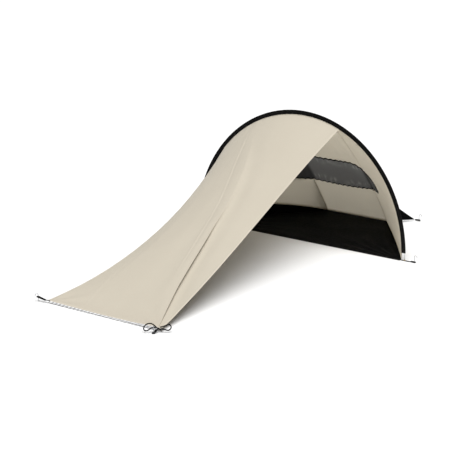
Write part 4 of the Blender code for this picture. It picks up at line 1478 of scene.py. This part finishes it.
def make_peg(name, place, facing, looks):
    """A wire peg: a pointed shank, a round hook over its top and a short return."""
    reach = Vector((cos(facing), sin(facing), 0.0))
    top = place + UP * PEG_NECK
    centre = top + reach * PEG_HOOK_RADIUS
    points = [place + UP * z for z in (-PEG_DEPTH, -PEG_DEPTH + 0.006, -PEG_DEPTH + 0.014)]
    points += [place + UP * z for z in between(-PEG_DEPTH + 0.03, PEG_NECK - 0.004, 12)]
    for k in range(25):
        angle = radians(180.0 - 205.0 * k / 24)
        points.append(centre + (reach * cos(angle) + UP * sin(angle)) * PEG_HOOK_RADIUS)
    radii = [PEG_RADIUS] * len(points)
    radii[0:3] = [0.0003, 0.0012, PEG_RADIUS]
    radii[-1] = PEG_RADIUS * 0.75
    shape = Shape()
    shape.tube(points, radii, 16, wear_and_painted_light=lambda k: 0.75 * (1 - smooth((points[k].z + 0.05) / 0.06)))
    make_piece(f"{name}_wire", shape, [looks["steel"]], name, "steel", name, sharp=50.0)


# --- cords -----------------------------------------------------------------------------------


def loop_route(start, peg, height, spread=0.0042, turn=0.0085):
    """A slender loop from start round a peg and back: two strands and a round end."""
    away = Vector((peg.x - start.x, peg.y - start.y, 0.0)).normalized()
    level = Vector((-away.y, away.x, 0.0))
    end = Vector((peg.x, peg.y, height))
    span = (Vector((end.x, end.y, 0)) - Vector((start.x, start.y, 0))).length
    outward = []
    for share in (0.0, 0.3, 0.6, 0.85):
        place = start.lerp(end, share * (span - 0.2 * turn) / span)
        outward.append(place + level * (spread + (turn - spread) * share ** 1.5))
    crown = [end + away * turn * sin(radians(a)) + level * turn * cos(radians(a))
             for a in (15.0, 45.0, 90.0, 135.0, 165.0)]
    back = [place - 2 * level * (place - start).dot(level) for place in reversed(outward)]
    return outward + crown + back


def knot_place():
    corner, towards = corner_frame(1.0)
    return corner + towards * 0.0240 + Vector((0, 0, 0.006))


# the bow's loops, as (sideways, towards the front, up) from the knot, in millimetres
BOW_LEFT = [(-10, -6, 2), (-26, -10, 18), (-48, -12, 31), (-74, -12, 29), (-92, -4, 16),
            (-98, 8, 2), (-88, 18, -9), (-70, 17, -7), (-50, 10, 4), (-30, 4, 10), (-12, 1, 9)]
BOW_RIGHT = [(10, 6, -2), (28, 8, -2), (48, 9, -4), (68, 8, -8), (83, 0, 0), (85, -8, 14),
             (73, -12, 26), (55, -10, 21), (32, -5, 14), (11, 0, 10)]


def make_cord(name, route, body, looks):
    """A braided cord along the route, which leaves the object and comes back to it."""
    path = smooth_path(route, 0.0025)
    shape = Shape()
    radii = [CORD_FULL * (1 + 0.02 * sin(k * 1.9)) for k in range(len(path))]
    radii[0] = radii[-1] = CORD_FULL * 0.8
    shape.tube(path, radii, 14)
    cord = make_piece(f"{name}_braid", shape, [looks["cord"]], body, "cord", name, sharp=60.0)


def make_front_cords(looks):
    corner, towards = corner_frame(0.0)
    start = corner + towards * 0.0205 + Vector((0, 0, -0.002))
    make_cord("front_cord_left", loop_route(start, PEGS["peg_front_left"][0], 0.0330),
              "front_canopy", looks)
    knot = knot_place()
    peg = PEGS["peg_front_right"][0]
    away = Vector((peg.x - knot.x, peg.y - knot.y, 0.0)).normalized()
    start = knot + away * 0.0105 + Vector((0, 0, -0.004))
    tied = make_knot(knot, away, looks)
    make_cord("front_cord_right", loop_route(start, peg, 0.0045), "front_canopy", looks)
    sideways = Vector((0.819, 0.574, 0.0))
    frontward = Vector((0.574, -0.819, 0.0))
    for name, loop in (("bow_loop_left", BOW_LEFT), ("bow_loop_right", BOW_RIGHT)):
        route = [knot + (sideways * a + frontward * b + UP * c) / 1000 for a, b, c in loop]
        make_cord(name, route, "front_canopy", looks)


def make_knot(knot, away, looks):
    """The bow's knot: a cord that winds over and under itself."""
    level = Vector((-away.y, away.x, 0.0))
    path = []
    for k in range(150):
        t = 2 * pi * k / 150
        a = sin(t) + 2 * sin(2 * t)
        b = cos(t) - 2 * cos(2 * t)
        c = -sin(3 * t)
        path.append(knot + level * a * 0.0026 + away * b * 0.0020 + UP * c * 0.0036)
    shape = Shape()
    shape.tube(path, CORD_RADIUS * 0.95, 12, closed=True)
    return make_piece("bow_knot_tied", shape, [looks["cord"]],
                      "front_canopy", "cord", "bow_knot", sharp=60.0)


def make_ground_cords(looks):
    """The loops that hold the foot straps and the corner fins to their pegs."""
    for side, name in SIDES.items():
        start = Vector((side * (HALF_WIDTH + 0.0480), 0.0, 0.0042))
        route = loop_route(start, PEGS[f"peg_side_{name}"][0], 0.0042, 0.0050)
        make_cord(f"side_cord_{name}", route, "root", looks)
        tip = Vector((side * FIN_TIP.x, FIN_TIP.y, FIN_TIP.z))
        away = (PEGS[f"peg_rear_{name}"][0] - Vector((tip.x, tip.y, 0.0))).normalized()
        route = loop_route(tip + away * 0.0040, PEGS[f"peg_rear_{name}"][0], 0.0090)
        make_cord(f"rear_cord_{name}", route, "root", looks)


# --- floor, light ----------------------------------------------------------------------------


def make_stage():
    nodes = Nodes("studio_floor", 0.9, Specular_IOR_Level=0.0)
    cloud = nodes.noise(0.8, 3.0, 0.5)
    colour = nodes.mottled(cloud, (0.79, 0.79, 0.79), (0.80, 0.80, 0.80))
    mesh = bpy.data.meshes.new("studio_floor")
    half = 90.0
    mesh.from_pydata([(-half, -half, 0), (half, -half, 0), (half, half, 0), (-half, half, 0)],
                     [], [(0, 1, 2, 3)])
    mesh.materials.append(nodes.finish(colour))
    floor = bpy.data.objects.new("studio_floor", mesh)
    bpy.context.scene.collection.objects.link(floor)


SKY_STRENGTH = 0.18
SUN_STRENGTH = 4.0
SUN_FROM = Vector((0.20, -0.24, 1.0))
SUN_SPREAD = radians(62.0)


def make_light():
    world = bpy.data.worlds.new("studio")
    world.use_nodes = True
    background = world.node_tree.nodes["Background"]
    background.inputs["Color"].default_value = (1.0, 1.0, 1.0, 1.0)
    background.inputs["Strength"].default_value = SKY_STRENGTH
    bpy.context.scene.world = world
    data = bpy.data.lights.new("soft_sun", "SUN")
    data.energy = SUN_STRENGTH
    data.angle = SUN_SPREAD
    sun = bpy.data.objects.new("soft_sun", data)
    bpy.context.scene.collection.objects.link(sun)
    sun.rotation_mode = "QUATERNION"
    sun.rotation_quaternion = SUN_FROM.to_track_quat("Z", "Y")
    bpy.context.scene.view_settings.view_transform = "Standard"


def finish_inner_parts(looks):
    """The ferrules and the elastic inside the pole keep their CAD shape, with a finish."""
    for name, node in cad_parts.items():
        if name.startswith("ferrule"):
            node.data.materials.clear()
            node.data.materials.append(looks["pole"])
        if name == "shock_cord":
            node.data.materials.clear()
            node.data.materials.append(looks["elastic"])


def main():
    make_camera()
    looks = make_materials()
    make_front_cords(looks)
    make_ground_cords(looks)
    make_canopy(looks)
    make_rear_panels(looks)
    make_window(looks)
    make_wall_seams(looks)
    make_floor(looks)
    make_sleeve(looks)
    make_piping(looks)
    make_pole(looks)
    for side in SIDES:
        make_side_panels(side, looks)
        make_fin(side, looks)
        make_strap(side, looks)
        make_pole_tip(side, looks)
    for across in (0.0, 1.0):
        make_hem_tab(across, looks)
    for name, (place, facing) in PEGS.items():
        make_peg(name, place, facing, looks)
    finish_inner_parts(looks)
    make_stage()
    make_light()


main()
bpy.context.view_layer.update()
